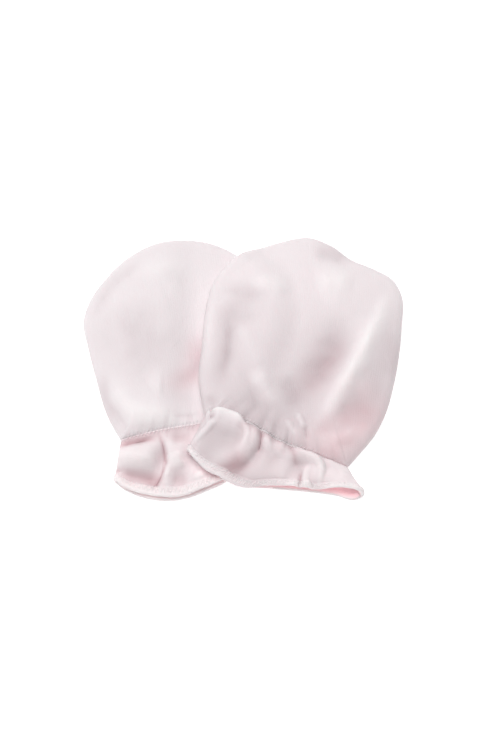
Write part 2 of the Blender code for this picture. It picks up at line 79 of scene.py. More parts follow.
# %% What the tables hold
Seam = namedtuple("Seam", "x y")
Wrist = namedtuple("Wrist", "x y top")
Fold = namedtuple("Fold", "name x0 y0 x1 y1 x2 y2 width height")
Line = namedtuple("Line", "share x y bow bulge dip hem")
Bumps = namedtuple("Bumps", "height size seed")
Mitten = namedtuple("Mitten", (
    "name", "middle", "lean", "softness", "seam", "wrist", "gathers",
    "folds", "creases", "ruffle", "under_hem", "cuff_creases"))

# %% The left mitten, underneath
LEFT = Mitten(
    name="left_mitten",
    middle=(-25.5, 9.0),
    lean=-8.0,
    softness=0.25,
    seam=(
        Seam(-2.4, -22.5),
        Seam(3.4, -11.0),
        Seam(8.6, 3.0),
        Seam(12.2, 16.0),
        Seam(11.0, 28.5),
        Seam(5.5, 39.5),
        Seam(-3.2, 47.0),
        Seam(-13.0, 51.8),
        Seam(-24.0, 53.4),
        Seam(-35.2, 51.7),
        Seam(-46.0, 45.7),
        Seam(-55.2, 36.1),
        Seam(-61.4, 26.2),
        Seam(-63.5, 18.0),
        Seam(-61.5, 7.0),
        Seam(-57.9, -7.0),
        Seam(-53.6, -21.4),
        Seam(-47.7, -32.7),
    ),
    wrist=(
        Wrist(-47.7, -32.7, 5.4),
        Wrist(-33.0, -29.6, 6.4),
        Wrist(-15.2, -25.6, 4.4),
        Wrist(-2.4, -22.5, 4.2),
    ),
    gathers=(0.5, 0.7, 0.5, 0.8, 0.5, 0.6, 0.4, 0.3, 0.3),
    folds=(
        Fold("dent in the middle", -50.0, 26.0, -40.0, 6.0, -24.0, -8.0, 13.0, -1.4),
        Fold("crease beside the right mitten", -17.0, 14.0, -19.0, -5.0, -31.0, -14.0, 3.6, -1.6),
        Fold("puff over the wrist", -56.0, -4.0, -45.0, -22.0, -18.0, -24.0, 3.8, 2.0),
        Fold("soft fold at the fingertips", -44.0, 33.0, -33.0, 39.0, -18.0, 38.0, 4.5, 0.8),
    ),
    creases=(
        Fold("puff near the fingertips", -31.0, 27.0, -27.0, 29.0, -23.0, 30.0, 6.0, 0.5),
        Fold("puff below the dent", -38.0, -13.0, -35.0, -12.0, -31.0, -12.0, 4.5, 0.6),
        Fold("shadow under the puff", -48.0, -30.5, -42.0, -29.6, -35.5, -28.4, 1.6, -0.3),
        Fold("short crease at the wrist", -29.0, -24.4, -22.0, -23.4, -16.0, -21.6, 1.1, -1.2),
        Fold("pinched line", -18.0, 4.0, -19.0, -3.0, -22.0, -9.0, 1.6, -0.6),
        Fold("long soft crease", -36.0, -12.0, -27.0, -16.0, -16.0, -16.5, 3.4, -0.5),
        Fold("shade at the low left edge", -58.0, -4.0, -51.4, -20.0, -43.0, -32.0, 2.8, -2.5),
        Fold("line inside the top edge", -61.0, 14.0, -53.2, 31.0, -38.0, 44.5, 2.6, -1.0),
        Fold("edge of the dent", -52.0, 20.0, -49.0, 8.0, -46.0, -3.0, 3.0, 0.45),
    ),
    ruffle=(
        Line(0.00, -50.1, -48.8, 0.0, 5.8, 4.0, 3.6),
        Line(0.08, -47.2, -51.2, 0.0, 7.4, 3.8, 3.6),
        Line(0.18, -42.8, -53.4, 0.0, 8.2, 3.4, 3.6),
        Line(0.25, -40.0, -54.2, 1.5, 7.4, 3.2, 3.4),
        Line(0.32, -37.0, -54.8, 3.0, 3.6, 3.0, 3.0),
        Line(0.40, -32.4, -55.5, 1.0, 6.8, 5.0, 3.2),
        Line(0.50, -26.4, -55.6, 0.0, 6.8, 3.4, 3.0),
        Line(0.60, -21.0, -54.4, 0.0, 4.4, 3.6, 3.4),
        Line(0.70, -16.6, -52.5, 0.0, 4.2, 4.6, 3.8),
        Line(0.82, -10.6, -49.8, 0.0, 3.8, 3.6, 3.4),
        Line(0.92, -6.0, -47.0, 0.0, 3.6, 3.4, 3.2),
        Line(1.00, -3.6, -42.6, 0.0, 3.4, 3.2, 3.2),
    ),
    under_hem=(
        Seam(-6.4, -48.0),
        Seam(-13.6, -52.0),
        Seam(-26.0, -56.2),
        Seam(-38.6, -55.2),
        Seam(-46.8, -51.6),
    ),
    cuff_creases=(
        Fold("deep narrow fold", -34.0, -29.0, -30.0, -43.0, -36.6, -56.0, 1.0, -2.0),
        Fold("strip beside it", -31.0, -42.0, -30.0, -46.0, -31.4, -50.0, 1.0, 0.8),
        Fold("level ridge", -52.0, -40.2, -43.0, -41.6, -33.0, -42.2, 2.4, 1.1),
        Fold("hollow at the left edge", -50.2, -44.0, -49.2, -45.4, -48.0, -46.8, 1.5, -0.9),
        Fold("broad hollow", -51.5, -45.0, -41.0, -48.6, -28.5, -51.0, 3.2, -1.7),
        Fold("puff", -27.4, -38.6, -26.0, -42.4, -24.8, -45.6, 2.8, 1.2),
        Fold("hollow under the puff", -29.4, -48.2, -25.6, -49.4, -20.4, -50.0, 2.8, -0.8),
        Fold("small puff", -18.6, -46.4, -17.4, -48.4, -16.6, -50.0, 2.2, 0.7),
        Fold("hollow under the wrist", -30.4, -33.6, -25.4, -33.6, -19.4, -31.6, 2.0, -0.6),
        Fold("shadow under the wrist", -53.0, -36.4, -43.0, -34.8, -32.0, -32.6, 1.7, -2.1),
    ),
)
print("left mitten:", len(LEFT.folds) + len(LEFT.creases) + len(LEFT.cuff_creases), "folds")

# %% The right mitten, on top
RIGHT = Mitten(
    name="right_mitten",
    middle=(24.0, 6.0),
    lean=5.0,
    softness=0.6,
    seam=(
        Seam(40.4, -44.2),
        Seam(45.0, -38.6),
        Seam(51.2, -30.8),
        Seam(56.2, -20.8),
        Seam(59.5, -9.0),
        Seam(61.9, 4.0),
        Seam(63.2, 16.5),
        Seam(63.5, 28.6),
        Seam(60.7, 35.0),
        Seam(53.0, 40.2),
        Seam(43.8, 44.4),
        Seam(35.8, 50.6),
        Seam(27.0, 54.2),
        Seam(14.8, 52.1),
        Seam(4.8, 48.3),
        Seam(-4.4, 40.9),
        Seam(-11.4, 31.8),
        Seam(-14.6, 19.0),
        Seam(-15.8, 5.0),
        Seam(-17.0, -10.1),
        Seam(-14.4, -25.2),
    ),
    wrist=(
        Wrist(-14.4, -25.2, 12.2),
        Wrist(-8.4, -24.4, 13.0),
        Wrist(-2.0, -26.6, 12.6),
        Wrist(7.6, -31.6, 11.4),
        Wrist(14.8, -35.8, 10.4),
        Wrist(27.0, -39.9, 9.0),
        Wrist(40.4, -44.2, 5.6),
    ),
    gathers=(0.4, 0.5, 0.6, 0.9, 1.0, 0.9, 0.6, 0.7, 0.4),
    folds=(
        Fold("long ridge from the corner", 63.0, 37.0, 46.4, -1.0, 26.0, -38.0, 3.0, 2.9),
        Fold("foot of the ridge", 57.0, 26.0, 43.5, -2.0, 28.0, -29.0, 7.5, 0.8),
        Fold("hollow left of the ridge", 42.0, 20.0, 33.0, -3.0, 16.0, -24.0, 6.4, -2.3),
        Fold("slope right of the ridge", 62.0, 26.0, 54.0, -5.0, 37.0, -32.0, 7.6, -1.0),
        Fold("dark band at the left", -6.4, 25.0, -6.4, 2.0, -11.4, -20.0, 3.6, -1.7),
        Fold("slanting ridge beside it", -4.5, 17.0, 1.6, 4.0, 9.0, -9.0, 3.4, 0.5),
        Fold("crease over the wrist", -2.8, -1.0, 2.6, -15.0, 9.0, -31.0, 2.6, -0.3),
        Fold("ridge beside the crease", 4.4, -6.0, 8.6, -15.0, 12.4, -23.0, 3.6, 1.5),
        Fold("cross crease", -11.0, 27.6, 0.0, 26.2, 13.0, 23.0, 3.4, -1.2),
        Fold("soft fold above it", 2.0, 29.5, 11.0, 29.4, 20.0, 28.2, 3.8, 1.2),
        Fold("dent in the shoulder", 27.0, 45.4, 35.5, 46.0, 45.0, 42.0, 4.2, -1.8),
        Fold("puff in the shoulder", 28.0, 31.0, 35.0, 32.0, 45.0, 30.0, 6.5, 1.6),
        Fold("small hollow", 16.0, -8.0, 19.4, -17.0, 22.0, -26.0, 4.0, -1.4),
        Fold("band low at the right", 33.0, -24.5, 42.0, -22.5, 52.0, -18.0, 4.4, -1.1),
        Fold("fall to the wrist", -14.0, -16.0, 8.0, -24.0, 32.0, -34.0, 7.5, -1.4),
    ),
    creases=(
        Fold("pinch in the left band", -5.8, 20.0, -6.0, 3.0, -8.4, -12.0, 1.3, -0.6),
        Fold("pinch over the wrist", -0.6, -6.0, 3.2, -16.5, 8.4, -29.5, 1.0, -0.3),
        Fold("shade under the cross crease", -7.0, 25.0, -1.0, 18.0, 4.0, 9.0, 6.0, -1.1),
        Fold("left gather ridge", 17.0, -26.5, 18.8, -30.5, 21.6, -34.8, 1.2, 1.5),
        Fold("right gather ridge", 21.2, -24.0, 22.6, -27.6, 24.8, -31.5, 1.1, 1.3),
        Fold("gather hollow", 24.6, -29.0, 25.0, -32.5, 25.2, -36.0, 1.2, -1.2),
        Fold("band by the corner", 27.5, -37.6, 40.0, -33.4, 53.0, -27.0, 2.6, 1.4),
        Fold("line over the seam", 44.0, -38.0, 38.5, -39.0, 30.0, -37.6, 1.8, 0.4),
        Fold("edge hollow", 60.2, 14.0, 59.6, 2.0, 58.0, -9.0, 2.2, -0.6),
        Fold("light line at the edge", 56.4, 3.0, 57.6, -1.0, 58.6, -5.0, 0.8, 0.4),
        Fold("strip at the left", -12.0, 27.0, -13.6, 6.0, -14.0, -12.0, 2.2, 0.9),
        Fold("hollow at the left corner", -13.6, -16.5, -12.4, -20.0, -10.0, -22.5, 2.4, -1.5),
        Fold("shade beside the low ridge", 34.5, -21.0, 32.4, -28.0, 29.0, -35.0, 2.6, -0.7),
        Fold("deep of the hollow", 43.0, 7.0, 35.0, -3.0, 27.0, -12.0, 4.0, -0.7),
        Fold("dark gather band", 7.0, -25.5, 12.0, -29.0, 19.5, -33.5, 2.0, -0.9),
    ),
    ruffle=(
        Line(0.00, -21.4, -38.6, 0.0, 11.0, 10.2, 10.0),
        Line(0.10, -18.6, -42.4, -1.0, 11.4, 10.4, 9.8),
        Line(0.18, -15.4, -45.6, 0.0, 11.2, 9.8, 9.0),
        Line(0.26, -12.4, -47.8, 3.0, 11.6, 10.6, 8.2),
        Line(0.31, -10.4, -48.6, 4.6, 12.4, 10.4, 7.2),
        Line(0.39, -5.2, -50.8, 3.4, 8.6, 7.0, 5.6),
        Line(0.46, 1.4, -52.3, 2.0, 9.4, 6.8, 4.4),
        Line(0.53, 7.6, -51.4, 1.0, 8.4, 6.4, 4.0),
        Line(0.62, 14.8, -51.2, 0.0, 8.2, 6.0, 4.2),
        Line(0.70, 21.6, -51.8, 0.0, 6.4, 5.2, 5.2),
        Line(0.77, 27.4, -52.6, 1.5, 8.6, 6.6, 3.4),
        Line(0.86, 36.4, -53.2, 0.0, 7.6, 7.6, 7.6),
        Line(0.94, 43.2, -53.8, 0.0, 7.0, 7.4, 7.8),
        Line(1.00, 46.9, -54.8, 0.0, 5.4, 6.2, 6.6),
    ),
    under_hem=(
        Seam(44.2, -56.0),
        Seam(36.0, -54.2),
        Seam(25.0, -52.6),
        Seam(12.0, -51.4),
        Seam(-3.0, -49.6),
        Seam(-13.4, -45.0),
    ),
    cuff_creases=(
        Fold("right rim of the flap", -5.4, -24.0, 1.8, -32.6, -1.6, -41.2, 0.9, 0.9),
        Fold("left edge of the flap", -7.0, -23.6, -14.0, -30.6, -22.4, -39.2, 1.0, 1.0),
        Fold("pit beside the peak", -13.8, -27.4, -11.8, -26.8, -9.8, -26.4, 1.2, -1.6),
        Fold("second band", 3.4, -28.0, 4.8, -34.5, 2.4, -42.0, 1.3, 0.5),
        Fold("deep crease", 6.2, -31.0, 7.2, -35.0, 5.6, -41.0, 1.2, -1.2),
        Fold("shadow at the flap's foot", 3.4, -41.0, -3.4, -44.8, -11.0, -46.8, 2.8, -1.4),
        Fold("small white ridge", 8.2, -34.0, 9.6, -37.0, 11.4, -40.0, 1.2, 1.0),
        Fold("narrow groove", 17.8, -36.4, 20.2, -41.4, 21.2, -46.4, 1.3, -0.8),
        Fold("curling ridge", 19.0, -37.4, 30.6, -45.4, 29.4, -55.0, 1.0, 1.6),
        Fold("second lobe", 26.4, -43.6, 24.6, -49.6, 27.4, -55.0, 0.9, 1.5),
        Fold("notch beside it", 23.8, -45.6, 22.4, -50.4, 21.2, -55.5, 1.0, -1.6),
        Fold("bright zone", 32.0, -47.4, 37.0, -49.0, 42.0, -50.6, 3.0, 0.7),
    ),
)
print("right mitten:", len(RIGHT.folds) + len(RIGHT.creases) + len(RIGHT.cuff_creases), "folds")

# %% [markdown]
# All forms are drawn with a few curve helpers: a step that starts and ends level, a smooth curve through
# marks, and the distance from a line. Arrays go in and come out whole, so that many points take no loop.

# %% Curves through marks
def soft_step(share):
    """Three times the share squared, less twice its cube: 0 to 1 with a level start and end."""
    share = np.clip(share, 0.0, 1.0)
    return share * share * (3.0 - 2.0 * share)


def through(knots, values, places):
    """A cubic between each two knots, whose slope at a knot is that of its neighbours."""
    knots, values, places = (np.asarray(item, float) for item in (knots, values, places))
    slopes = np.gradient(values, knots, axis=0)
    left = np.clip(np.searchsorted(knots, places, side="right") - 1, 0, len(knots) - 2)
    columns = (-1,) + (1,) * (values.ndim - 1)
    span = (knots[left + 1] - knots[left]).reshape(columns)
    t = ((places - knots[left]) / span.ravel()).reshape(columns)
    ease = t * t * (3.0 - 2.0 * t)
    lift = slopes[left] * span * t * (1.0 - t) ** 2 - slopes[left + 1] * span * t * t * (1.0 - t)
    return values[left] * (1.0 - ease) + values[left + 1] * ease + lift


def lengths_along(points):
    """The distance run from the first point to each point: a running sum of the steps."""
    steps = np.linalg.norm(np.diff(points, axis=0), axis=1)
    return np.concatenate(([0.0], np.cumsum(steps)))


def even_curve(marks, stretches):
    """The smooth curve through the marks, read again at equal steps of its length."""
    marks = np.asarray(marks, float)
    knots = lengths_along(marks[:, :2])
    dense = through(knots, marks, np.linspace(0.0, knots[-1], 400))
    run = lengths_along(dense[:, :2])
    places = np.linspace(0.0, run[-1], stretches + 1)
    return np.column_stack([np.interp(places, run, column) for column in dense.T])


print("soft step at a quarter:", soft_step(0.25))

# %% Distances from a line, and inside or outside a loop
WAVES, SHORTEST_WAVE, LONGEST_WAVE = 12, 0.7, 1.6


def nearest_on(points, line):
    """Each point's distance from a line of straight stretches, and its share of the way along it."""
    start, step = line[:-1], np.diff(line, axis=0)
    offset = points[:, None, :] - start[None]
    share = np.clip((offset * step).sum(axis=2) / (step * step).sum(axis=1), 0.0, 1.0)
    distance = np.linalg.norm(offset - share[..., None] * step, axis=2)
    best = distance.argmin(axis=1)
    rows = np.arange(len(points))
    return distance[rows, best], (best + share[rows, best]) / len(step)


def distance_outside(points, loop):
    """How far each point lies outside a closed loop: a ray to the right crosses it an odd number of times
    from inside."""
    ends = np.roll(loop, -1, axis=0)
    rises = (loop[:, 1] > points[:, 1:]) != (ends[:, 1] > points[:, 1:])
    with np.errstate(divide="ignore", invalid="ignore"):
        slope = (ends[:, 0] - loop[:, 0]) / (ends[:, 1] - loop[:, 1])
        crossing = loop[:, 0] + (points[:, 1:] - loop[:, 1]) * slope
    inside = (rises & (points[:, :1] < crossing)).sum(axis=1) % 2 == 1
    distance, _ = nearest_on(points, np.vstack([loop, loop[:1]]))
    return np.where(inside, 0.0, distance)


def uneven(points, size, seed):
    """Soft unevenness between about -1 and 1: twelve sine waves near one size, each in its own direction."""
    dice = np.random.default_rng(seed)
    angle, start = dice.uniform(0.0, 2.0 * np.pi, (2, WAVES))
    length = size * dice.uniform(SHORTEST_WAVE, LONGEST_WAVE, WAVES)
    along = points[..., :1] * np.cos(angle) + points[..., 1:2] * np.sin(angle)
    return np.sin(2.0 * np.pi * along / length + start).sum(axis=-1) / WAVES ** 0.5


def bumpy(points, bumps):
    """The unevenness of one kind of bumps, times their height."""
    return bumps.height * uneven(points, bumps.size, bumps.seed)


print("unevenness at the origin:", round(float(uneven(np.zeros((1, 2)), 9.0, 1)[0]), 3))

# %% [markdown]
# The left mitten lies on the table, and the right one on the table and on the left one. What the right one
# lies on is a mound: full height over the left body and its cuff, and falling softly to the table beside
# them.

# %% What each mitten lies on
def edge_loop(mitten, wrist_steps, seam_steps):
    """The edge of a body: the wrist from left to right, then the seam back round the fingertips."""
    wrist = even_curve(mitten.wrist, wrist_steps)
    seam = even_curve(mitten.seam, seam_steps)
    return np.vstack([wrist[:-1, :2], seam[:-1]])


def hem_lines(mitten, steps):
    """The hem of the upper and of the under cloth, left to right, and the upper lines' bow and heights."""
    lines = np.array(mitten.ruffle)
    values = through(lines[:, 0], lines[:, 1:], np.linspace(0.0, 1.0, steps + 1))
    marks = [lines[-1, 1:3], *mitten.under_hem, lines[0, 1:3]]
    return values[:, :2], even_curve(marks, steps)[::-1], values[:, 2:]


def lies_on(mitten, points):
    """The table's height, 0, or the mound: each part's height less a soft step of the distance outside it."""
    flat = points.reshape(-1, 2)
    if mitten.name == LEFT.name:
        return np.zeros(points.shape[:-1])
    body = edge_loop(LEFT, 36, 36)
    cuff = np.vstack([body[:37], hem_lines(LEFT, 36)[0][::-1]])
    mounds = []
    for height, fall, share, loop in (
        (BODY_MOUND, BODY_FALL, BODY_MOUND_SHARE, body),
        (CUFF_MOUND, CUFF_FALL, CUFF_MOUND_SHARE, cuff),
    ):
        middle = loop.mean(axis=0)
        outside = distance_outside(flat, middle + share * (loop - middle))
        mounds.append(height * (1.0 - soft_step(outside / fall)))
    total = sum(mound ** MOUND_BLEND for mound in mounds) ** (1.0 / MOUND_BLEND)
    return total.reshape(points.shape[:-1])


wrist_start = np.array([RIGHT.wrist[0][:2]])
print("the right wrist's left end lies", round(float(lies_on(RIGHT, wrist_start)[0]), 2), "mm up")

# %% [markdown]
# A fold in soft knit is a bank: its height falls off with the distance from its line like a bell, and it
# fades at its two ends. A little unevenness in the height and in the line keeps it from looking ruled.

# %% Folds and the height of the cloth
END_FADE = 0.38
FOLD_STEPS = 12
LINE_BUMPS, STRENGTH_BUMPS, STRENGTH_SEED = 11.0, 8.0, 50
FOLD_GAIN, FOLD_WOBBLE, FOLD_SEED = 1.15, 0.06, 10
CREASE_WOBBLE, CREASE_SEED = 0.12, 200
TONE_DEPTH = 4.2


def relief(folds, points, wobble, seed):
    """The sum of the folds: height, times the bell of the distance over the width, times the ends' fade."""
    flat = points.reshape(-1, 2)
    height = np.zeros(len(flat))
    for number, fold in enumerate(folds):
        marks = ((fold.x0, fold.y0), (fold.x1, fold.y1), (fold.x2, fold.y2))
        distance, share = nearest_on(flat, even_curve(marks, FOLD_STEPS))
        shift = wobble * fold.width * uneven(flat, LINE_BUMPS, seed + number)
        strength = 1.0 + wobble * uneven(flat, STRENGTH_BUMPS, seed + STRENGTH_SEED + number)
        bell = np.exp(-(((distance + shift) / fold.width) ** 2))
        fade = soft_step(share / END_FADE) * soft_step((1.0 - share) / END_FADE)
        height += fold.height * strength * bell * fade
    return height.reshape(points.shape[:-1])


def all_folds(mitten, points):
    """The large folds and the fine creases of a body together."""
    large = FOLD_GAIN * relief(mitten.folds, points, FOLD_WOBBLE, FOLD_SEED)
    return large + relief(mitten.creases, points, CREASE_WOBBLE, CREASE_SEED)


# The tone paints shade into hollows and a highlight onto ridges, through the cloth's colour.
def tone_of(mitten, points):
    """How deep in a hollow a point lies, 1 in the deepest, and how high on a ridge, as less than nothing."""
    return np.clip(-all_folds(mitten, points) / TONE_DEPTH, -1.0, 1.0)


def crown(mitten, points):
    """The height of the middle of the upper cloth, pressed down where the right mitten lies on the left."""
    folds = all_folds(mitten, points)
    if mitten.name == LEFT.name:
        pressed = soft_step((points[..., 0] - PRESS_FROM_X) / (PRESS_TO_X - PRESS_FROM_X))
        return (LEFT_CROWN + folds) * (1.0 - pressed) + PRESSED_CROWN * pressed
    return RIGHT_CROWN + RIDE_UP * lies_on(mitten, points) + folds


print("left crown near its middle:", round(float(crown(LEFT, np.array([[-40.0, 10.0]]))[0]), 2), "mm")

# %% [markdown]
# Elastic pulls the wrist into gathers. The solids have the nine large waves of each side. Between them the
# knit puckers finer, every two or three millimetres, and no two puckers are as high or reach as far up.

# %% Gathers at the wrist
PUCKERS = ((15, 0.18), (21, 0.18), (27, 0.12))
PUCKER_SEED = 5
PUCKER_MEAN, PUCKER_SWING, PUCKER_TURNS = 0.6, 0.4, 9.0


def gather_wave(mitten, steps):
    """Nine cosine waves across the wrist, each with its own height, fading at both ends."""
    share = np.linspace(0.0, 1.0, steps + 1)
    heights = np.interp(share, np.linspace(0.0, 1.0, GATHERS), mitten.gathers)
    return mitten.softness * heights * np.cos(2.0 * np.pi * GATHERS * share) * np.sin(np.pi * share) ** 0.5


def fine_puckers(mitten, steps, seed):
    """Three sine waves of 15 to 27 crests across the wrist, which swell and fade in different places."""
    share = np.linspace(0.0, 1.0, steps + 1)
    dice = np.random.default_rng(seed)
    waves = np.zeros(steps + 1)
    for crests, height in PUCKERS:
        start, swell = dice.uniform(0.0, 2.0 * np.pi, 2)
        growing = PUCKER_MEAN + PUCKER_SWING * np.sin(PUCKER_TURNS * share + swell)
        waves += height * np.sin(2.0 * np.pi * crests * share + start) * growing
    return mitten.softness * waves * np.sin(np.pi * share) ** 0.5


def wrist_heights(mitten, steps):
    """The wrist line with the heights of its upper and under cloth: a flattened oval on the floor."""
    wrist = even_curve(mitten.wrist, steps)
    share = np.linspace(0.0, 1.0, steps + 1)
    oval = (1.0 - np.abs(2.0 * share - 1.0) ** WRIST_OVAL) ** (1.0 / WRIST_OVAL)
    floor = lies_on(mitten, wrist[:, :2])
    middle = np.interp(share, (0.0, 1.0), (floor[0], floor[-1])) + SEAM_HEIGHT
    wave = gather_wave(mitten, steps)
    lift = UNDER_GATHER * (wave - wave.min()) * oval
    over = middle + (wrist[:, 2] - middle) * oval + wave + fine_puckers(mitten, steps, PUCKER_SEED)
    under = middle + (floor + WALL / 2.0 + lift - middle) * oval
    return wrist[:, :2], over, under


def wrist_axes(mitten, steps):
    """The level directions across the wrist, towards the fingertips: a quarter turn from the way along it."""
    along = np.gradient(even_curve(mitten.wrist, steps)[:, :2], axis=0)
    across = np.column_stack([-along[:, 1], along[:, 0], np.zeros(len(along))])
    return across / np.linalg.norm(across, axis=1, keepdims=True)


def wrist_width(mitten):
    """The length of the wrist's line."""
    return lengths_along(even_curve(mitten.wrist, 80)[:, :2])[-1]


print("wrist widths:", [round(float(wrist_width(mitten)), 1) for mitten in (LEFT, RIGHT)])

# %% [markdown]
# The bag's edge is a turned seam: the two panels are sewn face to face and turned, so the allowance inside
# makes a soft lip some four millimetres wide with a shallow groove beside it. The panels are rings from a
# middle point out to the edge. The upper one falls steeply at the seam, as a filled bag does, and the under
# one lies flat and curls up to it.

# %% Directions and distances at the edge of a panel
def seam_side(steps, blend=9):
    """1 along the seam and 0 along the wrist, with a short soft change between them at both corners."""
    side = np.ones(WRIST_STEPS + SEAM_STEPS)
    side[:WRIST_STEPS + 1] = 0.0
    window = np.hanning(2 * blend + 3)[1:-1]
    wrapped = np.concatenate([side[-blend:], side, side[:blend]])
    return np.convolve(wrapped, window / window.sum(), mode="valid")[:steps]


def edge_directions(mitten, upwards):
    """Where a panel's edge draws back to: up or down at the seam, and towards the fingertips at the wrist."""
    count = WRIST_STEPS + SEAM_STEPS
    side = seam_side(count)[:, None]
    axes = wrist_axes(mitten, WRIST_STEPS)
    level = np.zeros((count, 3))
    level[:WRIST_STEPS + 1] = axes
    level[WRIST_STEPS:WRIST_STEPS + SEAM_STEPS // 2] = axes[-1]
    level[WRIST_STEPS + SEAM_STEPS // 2:] = axes[0]
    direction = side * np.array([0.0, 0.0, upwards]) + (1.0 - side) * level
    return direction / np.linalg.norm(direction, axis=1, keepdims=True)


def distance_from_edge(mitten, edge, rho):
    """How far inside the edge each ring lies: the rest of the spoke, times how squarely it meets the edge."""
    along = np.roll(edge, -1, axis=0) - np.roll(edge, 1, axis=0)
    outward = np.column_stack([along[:, 1], -along[:, 0]]) / np.linalg.norm(along, axis=1, keepdims=True)
    spoke = edge - np.array(mitten.middle)
    return (1.0 - rho)[:, None] * np.abs((spoke * outward).sum(axis=1))[None]


FIRST_RING, CROWDING = 0.012, 1.6
RHO = 1.0 - (1.0 - np.linspace(FIRST_RING, 1.0, BODY_RINGS)) ** CROWDING
print("rings:", len(RHO), "and the last but one at", round(float(RHO[-2]), 4), "of the way to the edge")

# %% The upper panel
LIP_AT, LIP_WIDTH, LIP_HEIGHT = 1.7, 1.8, 0.12
GROOVE_AT, GROOVE_WIDTH, GROOVE_DEPTH = 5.2, 2.4, 0.16
GROOVE_CHANGE = Bumps(0.5, 16.0, 31)
RIPPLE, RIPPLE_REACH, RIPPLE_FROM = Bumps(0.14, 5.5, 33), 3.5, 1.2
SWELL, DIMPLES, SWELL_FROM = Bumps(0.16, 19.0, 41), Bumps(0.03, 8.0, 42), 6.0
PUCKER_START, PUCKER_CHANGE = 0.80, Bumps(0.07, 5.0, 71)
DRAW_BACK = 0.1
ROUNDED_TO, ROUNDED_REACH = 0.45, 26


def rounded(loop):
    """Values round a closed loop, each the mean of its neighbours, so that inner rings have no corners."""
    window = np.hanning(2 * ROUNDED_REACH + 3)[1:-1]
    turns = range(-ROUNDED_REACH, ROUNDED_REACH + 1)
    return sum(share * np.roll(loop, turn, axis=0) for share, turn in zip(window, turns)) / window.sum()


def back_grid(mitten):
    """Edge height, plus the crown's rise times a rounded fullness, plus gathers, the seam's lip and bumps."""
    edge = edge_loop(mitten, WRIST_STEPS, SEAM_STEPS)
    count = len(edge)
    _, over, _ = wrist_heights(mitten, WRIST_STEPS)
    wave = np.zeros(count)
    wave[:WRIST_STEPS + 1] = gather_wave(mitten, WRIST_STEPS)
    puckers = np.zeros(count)
    puckers[:WRIST_STEPS + 1] = fine_puckers(mitten, WRIST_STEPS, PUCKER_SEED)
    edge_height = lies_on(mitten, edge) + SEAM_HEIGHT
    edge_height[:WRIST_STEPS + 1] = over - wave[:WRIST_STEPS + 1] - puckers[:WRIST_STEPS + 1]
    share = np.minimum(np.arange(count) / WRIST_STEPS, 1.0)
    roundness = SEAM_ROUNDNESS + (WRIST_ROUNDNESS - SEAM_ROUNDNESS) * np.sin(np.pi * share) ** 2
    rho = RHO[:, None]
    near_edge = soft_step((rho - ROUNDED_TO) / (1.0 - ROUNDED_TO))
    ring_height = rounded(edge_height) + near_edge * (edge_height - rounded(edge_height))
    ring = rounded(edge) + near_edge[..., None] * (edge - rounded(edge))
    points = np.array(mitten.middle) + rho[..., None] * (ring - np.array(mitten.middle))
    fullness = (1.0 - rho ** FLATNESS) ** (1.0 / rounded(roundness))
    height = ring_height + (crown(mitten, points) - ring_height) * fullness
    height += wave * soft_step((rho - GATHER_START) / (1.0 - GATHER_START))
    reach = PUCKER_START + bumpy(edge, PUCKER_CHANGE)
    height += puckers * soft_step((rho - reach) / (1.0 - reach))
    inside = distance_from_edge(mitten, edge, RHO)
    side = seam_side(count)
    groove = -GROOVE_DEPTH * (1.0 + bumpy(edge, GROOVE_CHANGE))
    groove = groove * np.exp(-(((inside - GROOVE_AT) / GROOVE_WIDTH) ** 2))
    lip = LIP_HEIGHT * np.exp(-(((inside - LIP_AT) / LIP_WIDTH) ** 2))
    ripple = bumpy(edge, RIPPLE) * np.exp(-inside / RIPPLE_REACH) * soft_step(inside / RIPPLE_FROM)
    height += (groove + lip + ripple) * side
    height += (bumpy(points, SWELL) + bumpy(points, DIMPLES)) * soft_step(inside / SWELL_FROM)
    grid = np.dstack([points, height])
    draw_back = END_ROOM * soft_step((rho - (1.0 - DRAW_BACK)) / DRAW_BACK)
    return grid + draw_back[..., None] * edge_directions(mitten, 1.0)


def heights(*grids):
    """The greatest height of each grid, for the printed lines."""
    return [round(float(grid[..., 2].max()), 1) for grid in grids]


left_back_grid, right_back_grid = back_grid(LEFT), back_grid(RIGHT)
print("upper panels reach", heights(left_back_grid, right_back_grid), "mm")

# %% The under panel
def palm_grid(mitten):
    """The floor plus half the wall, and a quarter circle of curl in the last eighth of each spoke."""
    edge = edge_loop(mitten, WRIST_STEPS, SEAM_STEPS)
    _, _, under = wrist_heights(mitten, WRIST_STEPS)
    floor = lies_on(mitten, edge)
    edge_height = floor + SEAM_HEIGHT
    edge_height[:WRIST_STEPS + 1] = under
    rho = RHO[:, None]
    points = np.array(mitten.middle) + rho[..., None] * (edge - np.array(mitten.middle))[None]
    turn = np.maximum(0.0, (rho - PALM_CURL_START) / (1.0 - PALM_CURL_START))
    curl = 1.0 - (1.0 - turn * turn) ** 0.5
    height = lies_on(mitten, points) + WALL / 2.0 + (edge_height - floor - WALL / 2.0) * curl
    grid = np.dstack([points, height])
    draw_back = END_ROOM * soft_step((rho - (1.0 - DRAW_BACK)) / DRAW_BACK)
    return grid + draw_back[..., None] * edge_directions(mitten, -1.0)


left_palm_grid, right_palm_grid = palm_grid(LEFT), palm_grid(RIGHT)
print("under panels reach", heights(left_palm_grid, right_palm_grid), "mm")

# %% [markdown]
# The ruffle cuff is one strip sewn into a ring: gathered at the wrist, free and flared at the hem. Lines run
# from the wrist to the hem over the upper side, each with a bulge and a dip of its own, and the surface is a
# smooth curve through them. The hem is folded double, so its wall is thicker. At the left of the right cuff a
# flap stands up and rolls back over the seam.

